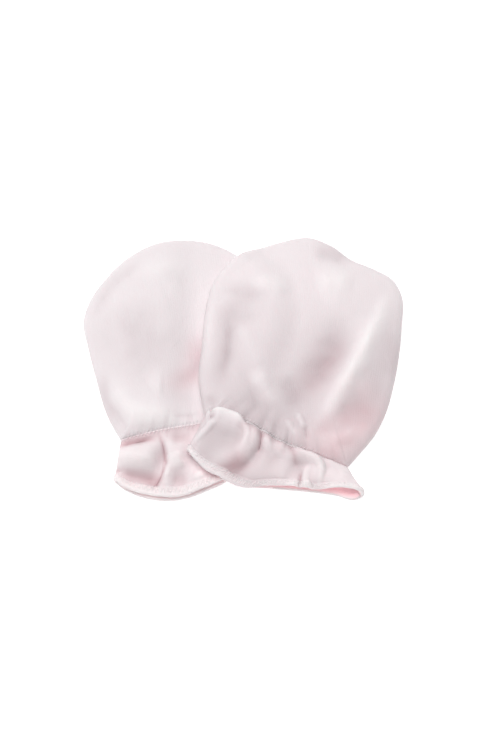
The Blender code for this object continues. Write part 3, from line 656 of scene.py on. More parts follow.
# %% The ruffle cuff
ROLL_OVER, ROLL_UP, ROLL_PEAK, ROLL_LENGTH = 2.4, 1.3, 0.07, 0.16
FLAP_FADE_IN, FLAP_TO_SHARE, FLAP_FADE_OUT = 0.05, 0.20, 0.08
CUFF_CREASES_FROM, CUFF_CREASE_SEED = 0.09, 400
CUFF_BUMPS, HEM_BUMPS, HEM_BUMPS_REACH = Bumps(0.10, 8.0, 61), Bumps(0.10, 2.6, 62), 0.1
PUCKERS_TO, CUFF_DRAW_BACK = 0.3, 0.08
FOLD_LINE_GROOVE, FOLD_LINE_WIDTH, HEM_STEP = 0.25, 0.014, 0.03


def cuff_grid(mitten):
    """Rows down the cuff, each a flattened ring: the upper side at the lines' heights, the under one flat."""
    line, over_wrist, under_wrist = wrist_heights(mitten, WRIST_STEPS)
    wrist = even_curve(mitten.wrist, WRIST_STEPS)
    upper_hem, under_hem, lines = hem_lines(mitten, WRIST_STEPS)
    share = np.linspace(0.0, 1.0, WRIST_STEPS + 1)
    down = np.linspace(0.0, 1.0, CUFF_ROWS)[:, None]
    bow = lines[:, 0] * 4.0 * down * (1.0 - down)
    upper = line + (upper_hem - line) * down[..., None]
    upper[..., 0] += bow
    under = line + (under_hem - line) * down[..., None]
    levels = np.vstack([wrist[:, 2], wrist[:, 2] + ROLL, lines[:, 1:].T])
    height = through((0.0, ROLL_AT, BULGE_AT, DIP_AT, 1.0), levels, down[:, 0])
    wall = cuff_walls(down)
    least = lies_on(mitten, upper) + wall + LEAST_ROOM + wall / 2.0
    height = (height + least + np.hypot(height - least, SETTLING)) / 2.0
    fade_in = soft_step(down / CUFF_CREASES_FROM)
    height += relief(mitten.cuff_creases, upper, CREASE_WOBBLE, CUFF_CREASE_SEED) * fade_in
    height += bumpy(upper, CUFF_BUMPS) * fade_in
    floor = lies_on(mitten, under) + wall / 2.0
    change = soft_step(down / OVAL_CHANGE)
    ends = lies_on(mitten, line[[0, -1]]) + SEAM_HEIGHT
    folds = (height[:, [0, -1]] + floor[:, [0, -1]]) / 2.0
    side = ends + (folds - ends) * change
    middle = side[:, :1] + (side[:, 1:] - side[:, :1]) * share
    power = WRIST_OVAL + (CUFF_OVAL - WRIST_OVAL) * change
    oval = (1.0 - np.abs(2.0 * share - 1.0) ** power) ** (1.0 / power)
    wave = gather_wave(mitten, WRIST_STEPS)
    puckers = fine_puckers(mitten, WRIST_STEPS, PUCKER_SEED)
    fade = 1.0 - soft_step(down / GATHER_END)
    lift = UNDER_GATHER * (wave - wave.min()) * oval
    puckers = puckers * (1.0 - soft_step(down / PUCKERS_TO))
    over = middle + (height - middle) * oval + wave * fade + puckers
    below = middle + (floor + lift * fade - middle) * oval
    over[0], below[0] = over_wrist, under_wrist
    rough = bumpy(upper, HEM_BUMPS) * soft_step((down - HEM_SHARE) / HEM_BUMPS_REACH)
    top = np.dstack([upper, over + rough])
    bottom = np.dstack([under, below])
    axes = wrist_axes(mitten, WRIST_STEPS)
    roll = rolled_rim(mitten, down, share)[..., None]
    top = top + roll * (ROLL_OVER * axes + np.array([0.0, 0.0, ROLL_UP]))
    grid = np.concatenate([top[:, :-1], bottom[:, :0:-1]], axis=1)
    around = np.vstack([axes[:-1], axes[:0:-1]])
    return grid - (END_ROOM * (1.0 - soft_step(down / CUFF_DRAW_BACK)))[..., None] * around


def on_the_flap(mitten, share):
    """1 across the flap of the right cuff, and 0 beside it and on the left cuff."""
    if mitten.name == LEFT.name:
        return np.zeros(len(share))
    return soft_step(share / FLAP_FADE_IN) * (1.0 - soft_step((share - FLAP_TO_SHARE) / FLAP_FADE_OUT))


def rolled_rim(mitten, down, share):
    """1 where the flap of the right cuff rolls back over its seam: a soft hill down the cuff, on the flap."""
    hill = soft_step(down / ROLL_PEAK) * (1.0 - soft_step((down - ROLL_PEAK) / ROLL_LENGTH))
    return hill * on_the_flap(mitten, share)


def cuff_walls(down):
    """The cloth's wall, a stitched groove at the hem's fold line, and the double wall below it."""
    groove = FOLD_LINE_GROOVE * np.exp(-(((down - HEM_SHARE) / FOLD_LINE_WIDTH) ** 2))
    return WALL + (HEM_WALL - WALL) * soft_step((down - HEM_SHARE) / HEM_STEP) - groove


left_cuff_grid, right_cuff_grid = cuff_grid(LEFT), cuff_grid(RIGHT)
print("cuffs reach", heights(left_cuff_grid, right_cuff_grid), "mm")

# %% [markdown]
# A grid of points becomes cloth when it gets a wall: half its thickness outwards and half inwards along the
# surface's own direction, with a half-round edge between the two sides. The rounded edges of two panels meet
# in a fine line, which is what a sewn seam looks like.

# %% Cloth from a grid
RIM_STEPS = 5


def unit(vectors):
    """The vectors made one long."""
    return vectors / np.maximum(np.linalg.norm(vectors, axis=-1, keepdims=True), 1e-9)


def square_to(vectors, directions):
    """The vectors less their share along the directions, made one long."""
    return unit(vectors - (vectors * directions).sum(axis=-1, keepdims=True) * directions)


def surface_normals(grid):
    """The step down the rows crossed with the step round the columns."""
    around = np.roll(grid, -1, axis=1) - np.roll(grid, 1, axis=1)
    return unit(np.cross(np.gradient(grid, axis=0), around))


def rim(points, normals, directions, half):
    """A half circle from the outer to the inner side, bulging the way the cloth ends."""
    angle = np.linspace(0.0, np.pi, RIM_STEPS + 2)[1:-1][:, None, None]
    return points + half * (np.cos(angle) * normals + np.sin(angle) * directions)


def new_mesh(name, points, *faces):
    """One mesh from points in millimetres and arrays of faces, each array with its own corner count."""
    mesh = bpy.data.meshes.new(name)
    corners = np.concatenate([part.ravel() for part in faces])
    sizes = np.concatenate([np.full(len(part), part.shape[1]) for part in faces])
    mesh.vertices.add(len(points))
    mesh.vertices.foreach_set("co", ((points + CENTRING) * MILLIMETRE).ravel())
    mesh.loops.add(len(corners))
    mesh.loops.foreach_set("vertex_index", corners)
    mesh.polygons.add(len(sizes))
    mesh.polygons.foreach_set("loop_start", np.concatenate(([0], np.cumsum(sizes)[:-1])))
    mesh.update(calc_edges=True)
    mesh.validate()
    mesh.shade_smooth()
    return mesh


def keep_numbers(mesh, name, values):
    """One number a point, kept on the mesh for the material to read."""
    mesh.attributes.new(name, "FLOAT", "POINT").data.foreach_set("value", values)


def new_piece(name, mesh, material):
    """An object at the origin that rides with the pair."""
    piece = bpy.data.objects.new(name, mesh)
    bpy.context.scene.collection.objects.link(piece)
    mesh.materials.append(material)
    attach(piece, "root")
    return piece


print("half-round edges of", RIM_STEPS, "steps")

# %% [markdown]
# Each point of the cloth carries the numbers that its colour is made from: where it lies on the flat cloth,
# so that the ribs follow the knitting, its painted shade in hollows and painted highlight on crests, its
# painted pink, and its painted glow on the inner side, which stands in for light that came through the
# thin cloth.

# %% Walls, and where each point lies on the flat cloth
# The inner sides get a painted glow and a painted pink, standing in for light that came through the thin
# cloth.
INNER_PAINTED_PINK = 0.5
INNER_GLOW = {LEFT.name: 0.3, RIGHT.name: 1.0}
STRIP_LENGTH = 130.0


def lattice(rows, columns, closed):
    """Four-cornered faces between a grid's rows, whose columns run round; the last row meets the first if
    closed."""
    a = np.arange(rows * columns).reshape(rows, columns)
    b = np.roll(a, -1, axis=0)
    faces = np.stack([a, b, np.roll(b, -1, axis=1), np.roll(a, -1, axis=1)], axis=-1)
    return (faces if closed else faces[:-1]).reshape(-1, 4)


def cloth_mesh(mitten, part, grid, walls, end, start, cloth):
    """Outer rows, a rim, inner rows back, and a rim or two middle points, joined into one closed skin. The
    four numbers of cloth are millimetres across and along the flat cloth, the painted shade of a point, which
    is more than nothing in hollows and less on crests, where it is a painted highlight, and its painted pink."""
    normals = surface_normals(grid)
    normals[-1] = square_to(normals[-1], end)
    half = walls[..., None] / 2.0
    sides = [grid + half * normals, rim(grid[-1], normals[-1], end, half[-1]), (grid - half * normals)[::-1]]
    place = [np.arange(len(grid)), np.full(RIM_STEPS, len(grid) - 1), np.arange(len(grid))[::-1]]
    if start is not None:
        normals[0] = square_to(normals[0], start)
        sides[0][0] = grid[0] + half[0] * normals[0]
        sides[2][-1] = grid[0] - half[0] * normals[0]
        sides.append(rim(grid[0], -normals[0], start, half[0]))
        place.append(np.zeros(RIM_STEPS, int))
    skin = np.concatenate(sides)
    place = np.concatenate(place)
    rows, columns = skin.shape[:2]
    points = skin.reshape(-1, 3)
    faces = [lattice(rows, columns, start is not None)]
    flat = cloth[place].reshape(-1, 4)
    # Painted glow: the inner side emits pink, a stand-in for light that came through the cloth.
    painted_glow = np.zeros((rows, columns))
    painted_glow[len(grid) + RIM_STEPS:2 * len(grid) + RIM_STEPS] = INNER_GLOW[mitten.name]
    # The inner side also gets a painted pink, in step with its painted glow.
    flat[:, 3] += INNER_PAINTED_PINK * painted_glow.ravel()
    # The left half of the right cuff's under side glows fully, painted light that lightens the shadow under
    # the flap.
    if mitten is RIGHT and part == "ruffle_cuff":
        under_left_half = WRIST_STEPS + WRIST_STEPS // 2
        painted_glow[:, under_left_half:] = 1.0
    painted_glow = painted_glow.ravel()
    if start is None:
        points = np.vstack([points, skin[0].mean(axis=0), skin[-1].mean(axis=0)])
        painted_glow = np.append(painted_glow, (0.0, 1.0))
        flat = np.vstack([flat, cloth[0].mean(axis=0), cloth[0].mean(axis=0)])
        ring = np.arange(columns)
        ahead = np.roll(ring, -1)
        last = (rows - 1) * columns
        faces.append(np.stack([np.full(columns, rows * columns), ring, ahead], axis=1))
        faces.append(np.stack([np.full(columns, rows * columns + 1), last + ahead, last + ring], axis=1))
    mesh = new_mesh(mitten.name + "_" + part, points, *faces)
    mesh.attributes.new("cloth", "FLOAT_VECTOR", "POINT").data.foreach_set("vector", flat[:, :3].ravel())
    keep_numbers(mesh, "painted_pink", np.clip(flat[:, 3], 0.0, 1.0))
    keep_numbers(mesh, "painted_glow", painted_glow)
    return mesh


def panel_cloth(mitten, grid, tone, painted_pink):
    """Across and along a panel: the plan turned by the mitten's lean, so ribs run to its tips."""
    lean = np.radians(mitten.lean)
    across = grid[..., 0] * np.cos(lean) - grid[..., 1] * np.sin(lean)
    along = grid[..., 0] * np.sin(lean) + grid[..., 1] * np.cos(lean)
    return np.dstack([across, along, tone, painted_pink])


def cuff_cloth(grid, tone, painted_pink):
    """Down and round a cuff, with the ribs of the strip running round the wrist."""
    steps = np.linalg.norm(np.diff(grid, axis=0), axis=2)
    down = np.vstack([np.zeros(grid.shape[1]), np.cumsum(steps, axis=0)]).mean(axis=1)
    around = np.linspace(0.0, STRIP_LENGTH, grid.shape[1])
    return np.dstack([*np.broadcast_arrays(down[:, None], around), tone, painted_pink])


print("a panel has", 4 * (BODY_RINGS + RIM_STEPS) * (WRIST_STEPS + SEAM_STEPS), "triangles at most")

# %% [markdown]
# The cloth is cotton interlock, a dense weft knit of fine ribs, brushed so that short fibres stand up from
# it. Those fibres catch light at a slant, which whitens its edges: that is sheen. The ridges are painted
# lighter and the hollows a deeper, greyer pink, as painted highlight and painted shade. Where thin cloth lies
# folded, light goes through it more than once and comes out pinker; that pink is painted into the colour as
# well. Light also travels a little way inside, so the shading is soft.

# %% Colours and a helper that adds one node
def linear(hexed):
    """An sRGB hex colour as linear light: the curve that screens use, undone."""
    channel = np.array([int(hexed[at:at + 2], 16) for at in (1, 3, 5)]) / 255.0
    light = np.where(channel <= 0.04045, channel / 12.92, ((channel + 0.055) / 1.055) ** 2.4)
    return (*light.tolist(), 1.0)


def add(tree, kind, inputs, **settings):
    """A new node with its settings, and each named input joined to a socket or given a value."""
    made = tree.nodes.new(kind)
    for name, value in settings.items():
        setattr(made, name, value)
    for place, value in inputs.items():
        if isinstance(value, bpy.types.NodeSocket):
            tree.links.new(value, made.inputs[place])
        else:
            made.inputs[place].default_value = value
    return made


print("a pale pink in linear light:", [round(value, 3) for value in linear("#E9D3D7")])

# %% Brushed cotton interlock
RIB_PITCH, COURSE_PITCH, COURSE_SHARE = 0.9, 0.8, 0.35
KNIT_DEPTH, NAP_DEPTH = 0.015, 0.07
BEND, BENDS, TUFTS, PATCHES = 1.6, 0.12, 1.1, 0.10
PALE_PINK, LIGHT_PINK = "#E9E1E3", "#EBE3E5"
# Painted shade and painted highlight: the pink that hollows are painted towards, and the paler pink of
# crests.
PAINTED_SHADE_PINK, PAINTED_HIGHLIGHT_PINK = "#CABDC0", "#F8F3F3"
# The first is a painted pink, multiplied into folds and inner sides; the second is the sheen's own white.
PAINTED_PINK_TINT, SHEEN_WHITE = "#FFE0E3", "#FFFAFA"
# The pink of the painted glow that inner sides and the wrist's cord emit, though no lamp is there.
PAINTED_GLOW_PINK, LIGHT_THROUGH = "#F0C8CD", 0.22
LIGHT_TRAVEL = 1.5


def mixed(tree, share, first, second, **settings):
    """The colour between two colours, or their product where the settings say so."""
    node = add(tree, "ShaderNodeMix", {0: share, 6: first, 7: second}, data_type="RGBA", **settings)
    return node.outputs[2]


def number(tree, operation, inputs, **settings):
    """The result of one step of arithmetic."""
    return add(tree, "ShaderNodeMath", inputs, operation=operation, **settings).outputs[0]


def brushed_interlock(name):
    """Ribs across the cloth, courses along it, and the nap's uneven tufts, as height and as a change of tone.
    The colour goes from pale pink towards a painted shade in hollows and a painted highlight on crests, times
    the painted pink."""
    material = bpy.data.materials.new(name)
    material.use_nodes = True
    tree = material.node_tree
    shader = tree.nodes["Principled BSDF"]
    flat = add(tree, "ShaderNodeAttribute", {}, attribute_name="cloth")
    parts = add(tree, "ShaderNodeSeparateXYZ", {0: flat.outputs["Vector"]})
    place = add(tree, "ShaderNodeCombineXYZ", {0: parts.outputs["X"], 1: parts.outputs["Y"]})
    bend = add(tree, "ShaderNodeTexNoise", {"Vector": place.outputs[0], "Scale": BENDS, "Detail": 1.0})
    shifted = number(tree, "MULTIPLY_ADD", {0: bend.outputs["Fac"], 1: BEND, 2: parts.outputs["X"]})
    rib = number(tree, "SINE", {0: number(tree, "MULTIPLY", {0: shifted, 1: 2.0 * np.pi / RIB_PITCH})})
    turn = number(tree, "MULTIPLY", {0: parts.outputs["Y"], 1: 2.0 * np.pi / COURSE_PITCH})
    knit = number(tree, "MULTIPLY_ADD", {0: number(tree, "SINE", {0: turn}), 1: COURSE_SHARE, 2: rib})
    tufts = add(tree, "ShaderNodeTexNoise", {
        "Vector": place.outputs[0], "Scale": TUFTS, "Detail": 3.0, "Roughness": 0.55})
    patches = add(tree, "ShaderNodeTexNoise", {"Vector": place.outputs[0], "Scale": PATCHES, "Detail": 2.0})
    nap = add(tree, "ShaderNodeBump", {
        "Height": tufts.outputs["Fac"], "Distance": NAP_DEPTH * MILLIMETRE, "Strength": 1.0})
    ribs = add(tree, "ShaderNodeBump", {
        "Height": knit, "Distance": KNIT_DEPTH * MILLIMETRE, "Strength": 0.7,
        "Normal": nap.outputs["Normal"]})
    tone = mixed(tree, patches.outputs["Fac"], linear(PALE_PINK), linear(LIGHT_PINK))
    # Painted shade towards the hollows' pink where the tone is above nothing, painted highlight where it is
    # below.
    deep = number(tree, "MULTIPLY", {0: parts.outputs["Z"], 1: 1.0}, use_clamp=True)
    high = number(tree, "MULTIPLY", {0: parts.outputs["Z"], 1: -1.0}, use_clamp=True)
    colour = mixed(tree, high, mixed(tree, deep, tone, linear(PAINTED_SHADE_PINK)), linear(PAINTED_HIGHLIGHT_PINK))
    # The painted pink, multiplied into the colour where folds and inner sides would pass pinker light.
    painted_pink = add(tree, "ShaderNodeAttribute", {}, attribute_name="painted_pink")
    painted_pink_colour = mixed(tree, painted_pink.outputs["Fac"], colour, linear(PAINTED_PINK_TINT), blend_type="MULTIPLY")
    # Painted glow: the cloth emits pink where its numbers say, though it is no lamp.
    painted_glow = add(tree, "ShaderNodeAttribute", {}, attribute_name="painted_glow")
    glow = number(tree, "MULTIPLY", {0: painted_glow.outputs["Fac"], 1: LIGHT_THROUGH})
    tree.links.new(glow, shader.inputs["Emission Strength"])
    tree.links.new(painted_pink_colour, shader.inputs["Base Color"])
    tree.links.new(ribs.outputs["Normal"], shader.inputs["Normal"])
    shader.inputs["Emission Color"].default_value = linear(PAINTED_GLOW_PINK)
    material.cycles.emission_sampling = "NONE"
    shader.inputs["Roughness"].default_value = 0.95
    shader.inputs["Specular IOR Level"].default_value = 0.15
    shader.inputs["Sheen Weight"].default_value = 0.4
    shader.inputs["Sheen Roughness"].default_value = 0.4
    shader.inputs["Sheen Tint"].default_value = linear(SHEEN_WHITE)
    shader.inputs["Subsurface Weight"].default_value = 0.35
    shader.inputs["Subsurface Radius"].default_value = (1.0, 0.85, 0.88)
    shader.inputs["Subsurface Scale"].default_value = LIGHT_TRAVEL * MILLIMETRE
    return material


interlock = brushed_interlock("brushed_cotton_interlock_pale_pink")
print("ribs every", RIB_PITCH, "mm")

# %% [markdown]
# Tone is painted shade and painted highlight: it runs from 1 in the deepest hollow to less than nothing on a
# crest. The folds give most of it. The rest is painted too: shade darker towards the wrist down the right
# mitten and over the right cuff's left part with its flap, highlight at the hem and on the flap's rim, and
# shade along the wrist's seam.

# %% Painted shades, highlights and pinks
# A painted highlight, paler towards the hem.
HEM_HIGHLIGHT, HEM_HIGHLIGHT_REACH = 0.8, 0.09
# Painted shade along the right mitten's wrist seam.
SEAM_SHADE, SEAM_SHADE_REACH = 0.4, 3.2
# Painted shade on the cuffs under the wrist's seam; RIM_LIGHT is a painted highlight on the flap's rolled
# rim.
CUFF_SHADE, CUFF_SHADE_TO, CUFF_TONE_DEPTH = 0.6, 0.28, 4.0
RIM_LIGHT = 0.9
# Painted shade, darker towards the wrist over the right mitten's back.
LOWER_BODY_SHADE, LOWER_SHADE_FROM_Y, LOWER_SHADE_TO_Y = 0.30, 36.0, -6.0
# Painted shade over the right cuff's left part, with its flap.
FLAP_SHADE, FLAP_SHADE_FROM_X, FLAP_SHADE_TO_X = 0.6, -14.0, 30.0
HOLLOW_REACH, HOLLOW_GAIN = 7, 0.35
# Painted pink in the upper panels' hollows and beside the right mitten, where the shade is pinker.
BODY_PAINTED_PINK = {
    LEFT.name: (Fold("beside the right mitten", -18.0, 16.0, -20.0, -4.0, -34.0, -16.0, 5.0, 0.35),),
    RIGHT.name: (
        Fold("low at the right", 16.0, -48.0, 40.0, -33.0, 58.0, -8.0, 10.0, 0.5),
        Fold("in the hollow", 42.0, 10.0, 33.0, -4.0, 22.0, -22.0, 5.5, 0.22),
    ),
}
PAINTED_PINK_WOBBLE, PAINTED_PINK_SEED = 0.1, 500
# Painted pink of the cuffs: a little everywhere but on the flap, more in folds and by the seam.
CUFF_PAINTED_PINK, PAINTED_PINK_IN_FOLDS, PAINTED_PINK_AT_SEAM = 0.12, 1.1, 0.2
SEAM_FADE, SEAM_FADE_FROM, SEAM_FADE_LENGTH = 0.85, 0.6, 0.25
# Limits of the painted shade, counted upwards into hollows, so that no painted highlight on a crest burns
# out and no fold gets too deep a painted pink.
CREST_LIMIT, CREASE_CREST_LIMIT, FOLD_PAINTED_PINK_LIMIT = -0.3, -0.2, 0.5


# On the cuffs this gives painted shade in hollows and painted highlight on crests.
def hollows(grid):
    """How deep each point lies under the mean of its neighbours a few rows and columns off."""
    height = grid[..., 2]
    rows = np.arange(len(grid))
    mean = np.zeros_like(height)
    for step in (HOLLOW_REACH, 2 * HOLLOW_REACH):
        up, down = np.maximum(rows - step, 0), np.minimum(rows + step, len(grid) - 1)
        beside = np.roll(height, step, axis=1) + np.roll(height, -step, axis=1)
        mean += (height[up] + height[down] + beside) / 8.0
    return np.clip(HOLLOW_GAIN * (mean - height), CREST_LIMIT, 1.0)


def seam_shadow(mitten, share):
    """How much of the seam's shadow is left at a share of the wrist: all, or little at the right end."""
    if mitten is LEFT:
        return np.ones(len(share))
    return 1.0 - SEAM_FADE * soft_step((share - SEAM_FADE_FROM) / SEAM_FADE_LENGTH)


def panel_tone(mitten, grid):
    """Painted shade and highlight from the folds; on the right mitten, painted shade by the seam and lower
    down.
    """
    tone = tone_of(mitten, grid[..., :2])
    if mitten is RIGHT:
        columns = grid.shape[1]
        inside = distance_from_edge(mitten, edge_loop(mitten, WRIST_STEPS, SEAM_STEPS), RHO)
        at_wrist = (1.0 - seam_side(columns)) * seam_shadow(mitten, np.arange(columns) / WRIST_STEPS)
        # Painted shade along the wrist's seam, then painted shade darker towards the wrist.
        tone += SEAM_SHADE * np.exp(-((inside / SEAM_SHADE_REACH) ** 2)) * at_wrist
        tone += LOWER_BODY_SHADE * soft_step((LOWER_SHADE_FROM_Y - grid[..., 1]) / (LOWER_SHADE_FROM_Y - LOWER_SHADE_TO_Y))
    return tone


def cuff_looks(mitten, grid, down):
    """The painted shade and painted pink of a cuff, from its creases and its seam, with no painted pink on
    the flap.
    """
    share = np.linspace(0.0, 1.0, WRIST_STEPS + 1)
    over = (slice(None), slice(None, WRIST_STEPS))
    plain = 1.0 - on_the_flap(mitten, share)[:WRIST_STEPS]
    by_the_seam = (1.0 - soft_step(down / CUFF_SHADE_TO)) * seam_shadow(mitten, share)[:WRIST_STEPS]
    creases = relief(mitten.cuff_creases, grid[over][..., :2], CREASE_WOBBLE, CUFF_CREASE_SEED)
    deep = -creases / CUFF_TONE_DEPTH
    # Painted shade and highlight from the cuff's hollows and crests, and a painted highlight at the hem.
    tone = hollows(grid) - HEM_HIGHLIGHT * soft_step((down - HEM_SHARE) / HEM_HIGHLIGHT_REACH)
    # Painted shade from the creases, and painted shade on the cuff under the seam.
    tone[over] += np.clip(deep, CREASE_CREST_LIMIT, 1.0) + CUFF_SHADE * by_the_seam * plain
    # Painted highlight on the flap's rolled rim.
    tone[over] -= RIM_LIGHT * rolled_rim(mitten, down, share)[:, :-1] ** 3
    # Painted pink: a little over the cuff, more in its folds and by the seam, none on the flap.
    painted_pink = np.full(grid.shape[:2], CUFF_PAINTED_PINK)
    painted_pink[over] += PAINTED_PINK_IN_FOLDS * np.clip(deep, 0.0, FOLD_PAINTED_PINK_LIMIT) + PAINTED_PINK_AT_SEAM * by_the_seam * plain
    painted_pink[over] *= plain
    if mitten is RIGHT:
        # Painted shade over the right cuff's left part, fading out towards its right.
        turned = soft_step((grid[..., 0] - FLAP_SHADE_FROM_X) / (FLAP_SHADE_TO_X - FLAP_SHADE_FROM_X))
        tone += FLAP_SHADE * (1.0 - turned)
    return tone, painted_pink


print("body blushes:", [painted_pink.name for painted_pinks in BODY_PAINTED_PINK.values() for painted_pink in painted_pinks])

# %% The six pieces of cloth
def cloth_piece(mitten, part, grid, walls, end, start, cloth):
    """One piece of cloth, which takes the place of the solid of the same name."""
    mesh = cloth_mesh(mitten, part, grid, walls, end, start, cloth)
    piece = new_piece("cloth_" + mitten.name + "_" + part, mesh, interlock)
    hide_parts(mitten.name + "_" + part)
    return piece


def panel_piece(mitten, grid, upwards, part):
    """A panel as cloth; the under one's columns run the other way, so that its outer side faces down."""
    directions = -edge_directions(mitten, upwards)
    tone, painted_pink = np.zeros(grid.shape[:2]), np.zeros(grid.shape[:2])
    if upwards > 0.0:
        # The upper panels get painted shade and highlight, and a painted pink in some hollows.
        tone = panel_tone(mitten, grid)
        painted_pink = relief(BODY_PAINTED_PINK[mitten.name], grid[..., :2], PAINTED_PINK_WOBBLE, PAINTED_PINK_SEED)
    cloth = panel_cloth(mitten, grid, tone, painted_pink)
    if upwards < 0.0:
        grid, directions, cloth = grid[:, ::-1], directions[::-1], cloth[:, ::-1]
    return cloth_piece(mitten, part, grid, np.full(grid.shape[:2], WALL), directions, None, cloth)


def cuff_piece(mitten, grid):
    """A cuff as cloth, ending at the hem as its last rows run, and at the wrist towards the fingertips."""
    axes = wrist_axes(mitten, WRIST_STEPS)
    start = np.vstack([axes[:-1], axes[:0:-1]])
    end = unit(grid[-1] - grid[-3])
    down = np.linspace(0.0, 1.0, CUFF_ROWS)[:, None]
    walls = np.broadcast_to(cuff_walls(down), grid.shape[:2])
    cloth = cuff_cloth(grid, *cuff_looks(mitten, grid, down))
    return cloth_piece(mitten, "ruffle_cuff", grid, walls, end, start, cloth)


left_back = panel_piece(LEFT, left_back_grid, 1.0, "back")
left_palm = panel_piece(LEFT, left_palm_grid, -1.0, "palm")
left_cuff = cuff_piece(LEFT, left_cuff_grid)
right_back = panel_piece(RIGHT, right_back_grid, 1.0, "back")
right_palm = panel_piece(RIGHT, right_palm_grid, -1.0, "palm")
right_cuff = cuff_piece(RIGHT, right_cuff_grid)
panels = (left_back, left_palm, right_back, right_palm)
for piece in (*panels, left_cuff, right_cuff):
    area = sum(polygon.area for polygon in piece.data.polygons) / 2.0
    print(piece.name, len(piece.data.polygons), "faces,", round(1e6 * area), "square mm of cloth")

# %% [markdown]
# At the wrist the overlocked seam is a soft round cord in the groove between panel and cuff, and short
# slanting stitches cross it like the rungs of a ladder. At the hem a looped stitch covers the folded edge.
# Each stitch is a thin tube that follows the cloth's surface and dips into it at its ends.

# %% Thread along the cloth
THREAD_RADIUS = 0.11
THREAD_SIDES = 6


def outer_points(grid, walls, rows, columns):
    """Points and directions on the outer side of a grid, read between its rows and columns."""
    normals = surface_normals(grid)
    outer = grid + walls[..., None] / 2.0 * normals
    low = np.clip(np.floor(rows).astype(int), 0, len(grid) - 2)
    left = np.floor(columns).astype(int)
    down, right = (rows - low)[..., None], (columns - left)[..., None]
    here, ahead = left % grid.shape[1], (left + 1) % grid.shape[1]

    def between(values):
        upper = values[low, here] * (1.0 - right) + values[low, ahead] * right
        lower = values[low + 1, here] * (1.0 - right) + values[low + 1, ahead] * right
        return upper * (1.0 - down) + lower * down

    return between(outer), unit(between(normals))


def thread_mesh(name, paths, ups, radius):
    """Tubes of six sides round many paths of equal length: a ring at each point, square to the way along."""
    along = unit(np.gradient(paths, axis=1))
    side = unit(np.cross(along, ups))
    up = np.cross(side, along)
    angle = np.arange(THREAD_SIDES) * 2.0 * np.pi / THREAD_SIDES
    circle = np.cos(angle)[:, None] * side[:, :, None] + np.sin(angle)[:, None] * up[:, :, None]
    points = paths[:, :, None] + radius * circle
    stitches, steps = paths.shape[:2]
    index = np.arange(points[..., 0].size).reshape(stitches, steps, THREAD_SIDES)
    here, ahead = index[:, :-1], index[:, 1:]
    turned = np.roll(here, -1, axis=2), np.roll(ahead, -1, axis=2)
    faces = np.stack([here, turned[0], turned[1], ahead], axis=-1).reshape(-1, 4)
    caps = np.concatenate([index[:, 0, ::-1], index[:, -1]])
    return new_mesh(name, points.reshape(-1, 3), faces, caps)


print("thread", 2 * THREAD_RADIUS, "mm thick")

# %% Sewing thread, the wrist's rungs and the hem's loops
def sewing_thread(name):
    """Spun thread a little lighter and smoother than the cloth."""
    material = bpy.data.materials.new(name)
    material.use_nodes = True
    shader = material.node_tree.nodes["Principled BSDF"]
    shader.inputs["Base Color"].default_value = linear("#F6EEEF")
    shader.inputs["Roughness"].default_value = 0.75
    shader.inputs["Sheen Weight"].default_value = 0.3
    return material


thread = sewing_thread("spun_thread_pale_pink")
RUNG_PITCH, RUNG_REACH, RUNG_LEAN, RUNG_SEED = 1.5, 1.0, 0.35, 3
RUNG_STAND = {LEFT.name: -0.09, RIGHT.name: 0.05}
RUNG_DIP, RUNG_END_DEPTH, CUFF_LENGTH = 0.08, 0.5, 22.0
LOOP_PITCH, LOOP_RADIUS, LOOP_END_DEPTH = 1.8, 0.15, 0.75
LOOP_STAGES = (0.0, 0.16, 0.34, 0.5, 0.66, 0.84)
LOOP_HEIGHTS = (1.0, 0.97, 0.93, 0.895, 0.93, 0.97)
# CORD_GLOW is a painted glow of the cord, emitted to lighten the seam's line.
CORD_RADIUS, CORD_SUNK, CORD_RISE, CORD_GLOW = 0.80, 0.66, 0.20, 0.8
# How much of the cord shows: at the left end, the change on the way to the right, and where that is.
CORD_SHOWS = {LEFT.name: (1.0, -0.5, 0.3, 0.4), RIGHT.name: (0.0, 1.0, 0.5, 0.3)}


def wrist_rungs(mitten, back, cuff):
    """Each rung runs from the cuff over the seam to the panel, a step further along, with sunk ends."""
    count = int(wrist_width(mitten) / RUNG_PITCH)
    column = (np.arange(count) + 0.5) / count * WRIST_STEPS
    column += RUNG_LEAN * np.random.default_rng(RUNG_SEED).uniform(-1.0, 1.0, count)
    step = RUNG_LEAN * WRIST_STEPS / count
    edge = edge_loop(mitten, WRIST_STEPS, SEAM_STEPS)
    reach = distance_from_edge(mitten, edge, np.zeros(1))[0][np.round(column).astype(int)]
    share = 1.0 - (RUNG_REACH / reach) ** (1.0 / CROWDING)
    panel_row = (share - FIRST_RING) / (1.0 - FIRST_RING) * (BODY_RINGS - 1)
    cuff_row = np.full(count, RUNG_REACH / CUFF_LENGTH * (CUFF_ROWS - 1))
    stand = RUNG_STAND[mitten.name]
    high, high_up = outer_points(back, np.full(back.shape[:2], WALL), panel_row, column + step)
    low, low_up = outer_points(cuff, np.full(cuff.shape[:2], WALL), cuff_row, column - step)
    middle, middle_up = (high + low) / 2.0, unit(high_up + low_up)
    paths = np.stack([
        low - RUNG_END_DEPTH * low_up,
        low + stand * low_up,
        middle + (stand - RUNG_DIP) * middle_up,
        high + stand * high_up,
        high - RUNG_END_DEPTH * high_up,
    ], axis=1)
    ups = np.stack([low_up, low_up, middle_up, high_up, high_up], axis=1)
    return thread_mesh(mitten.name + "_wrist_stitches", paths, ups, THREAD_RADIUS)


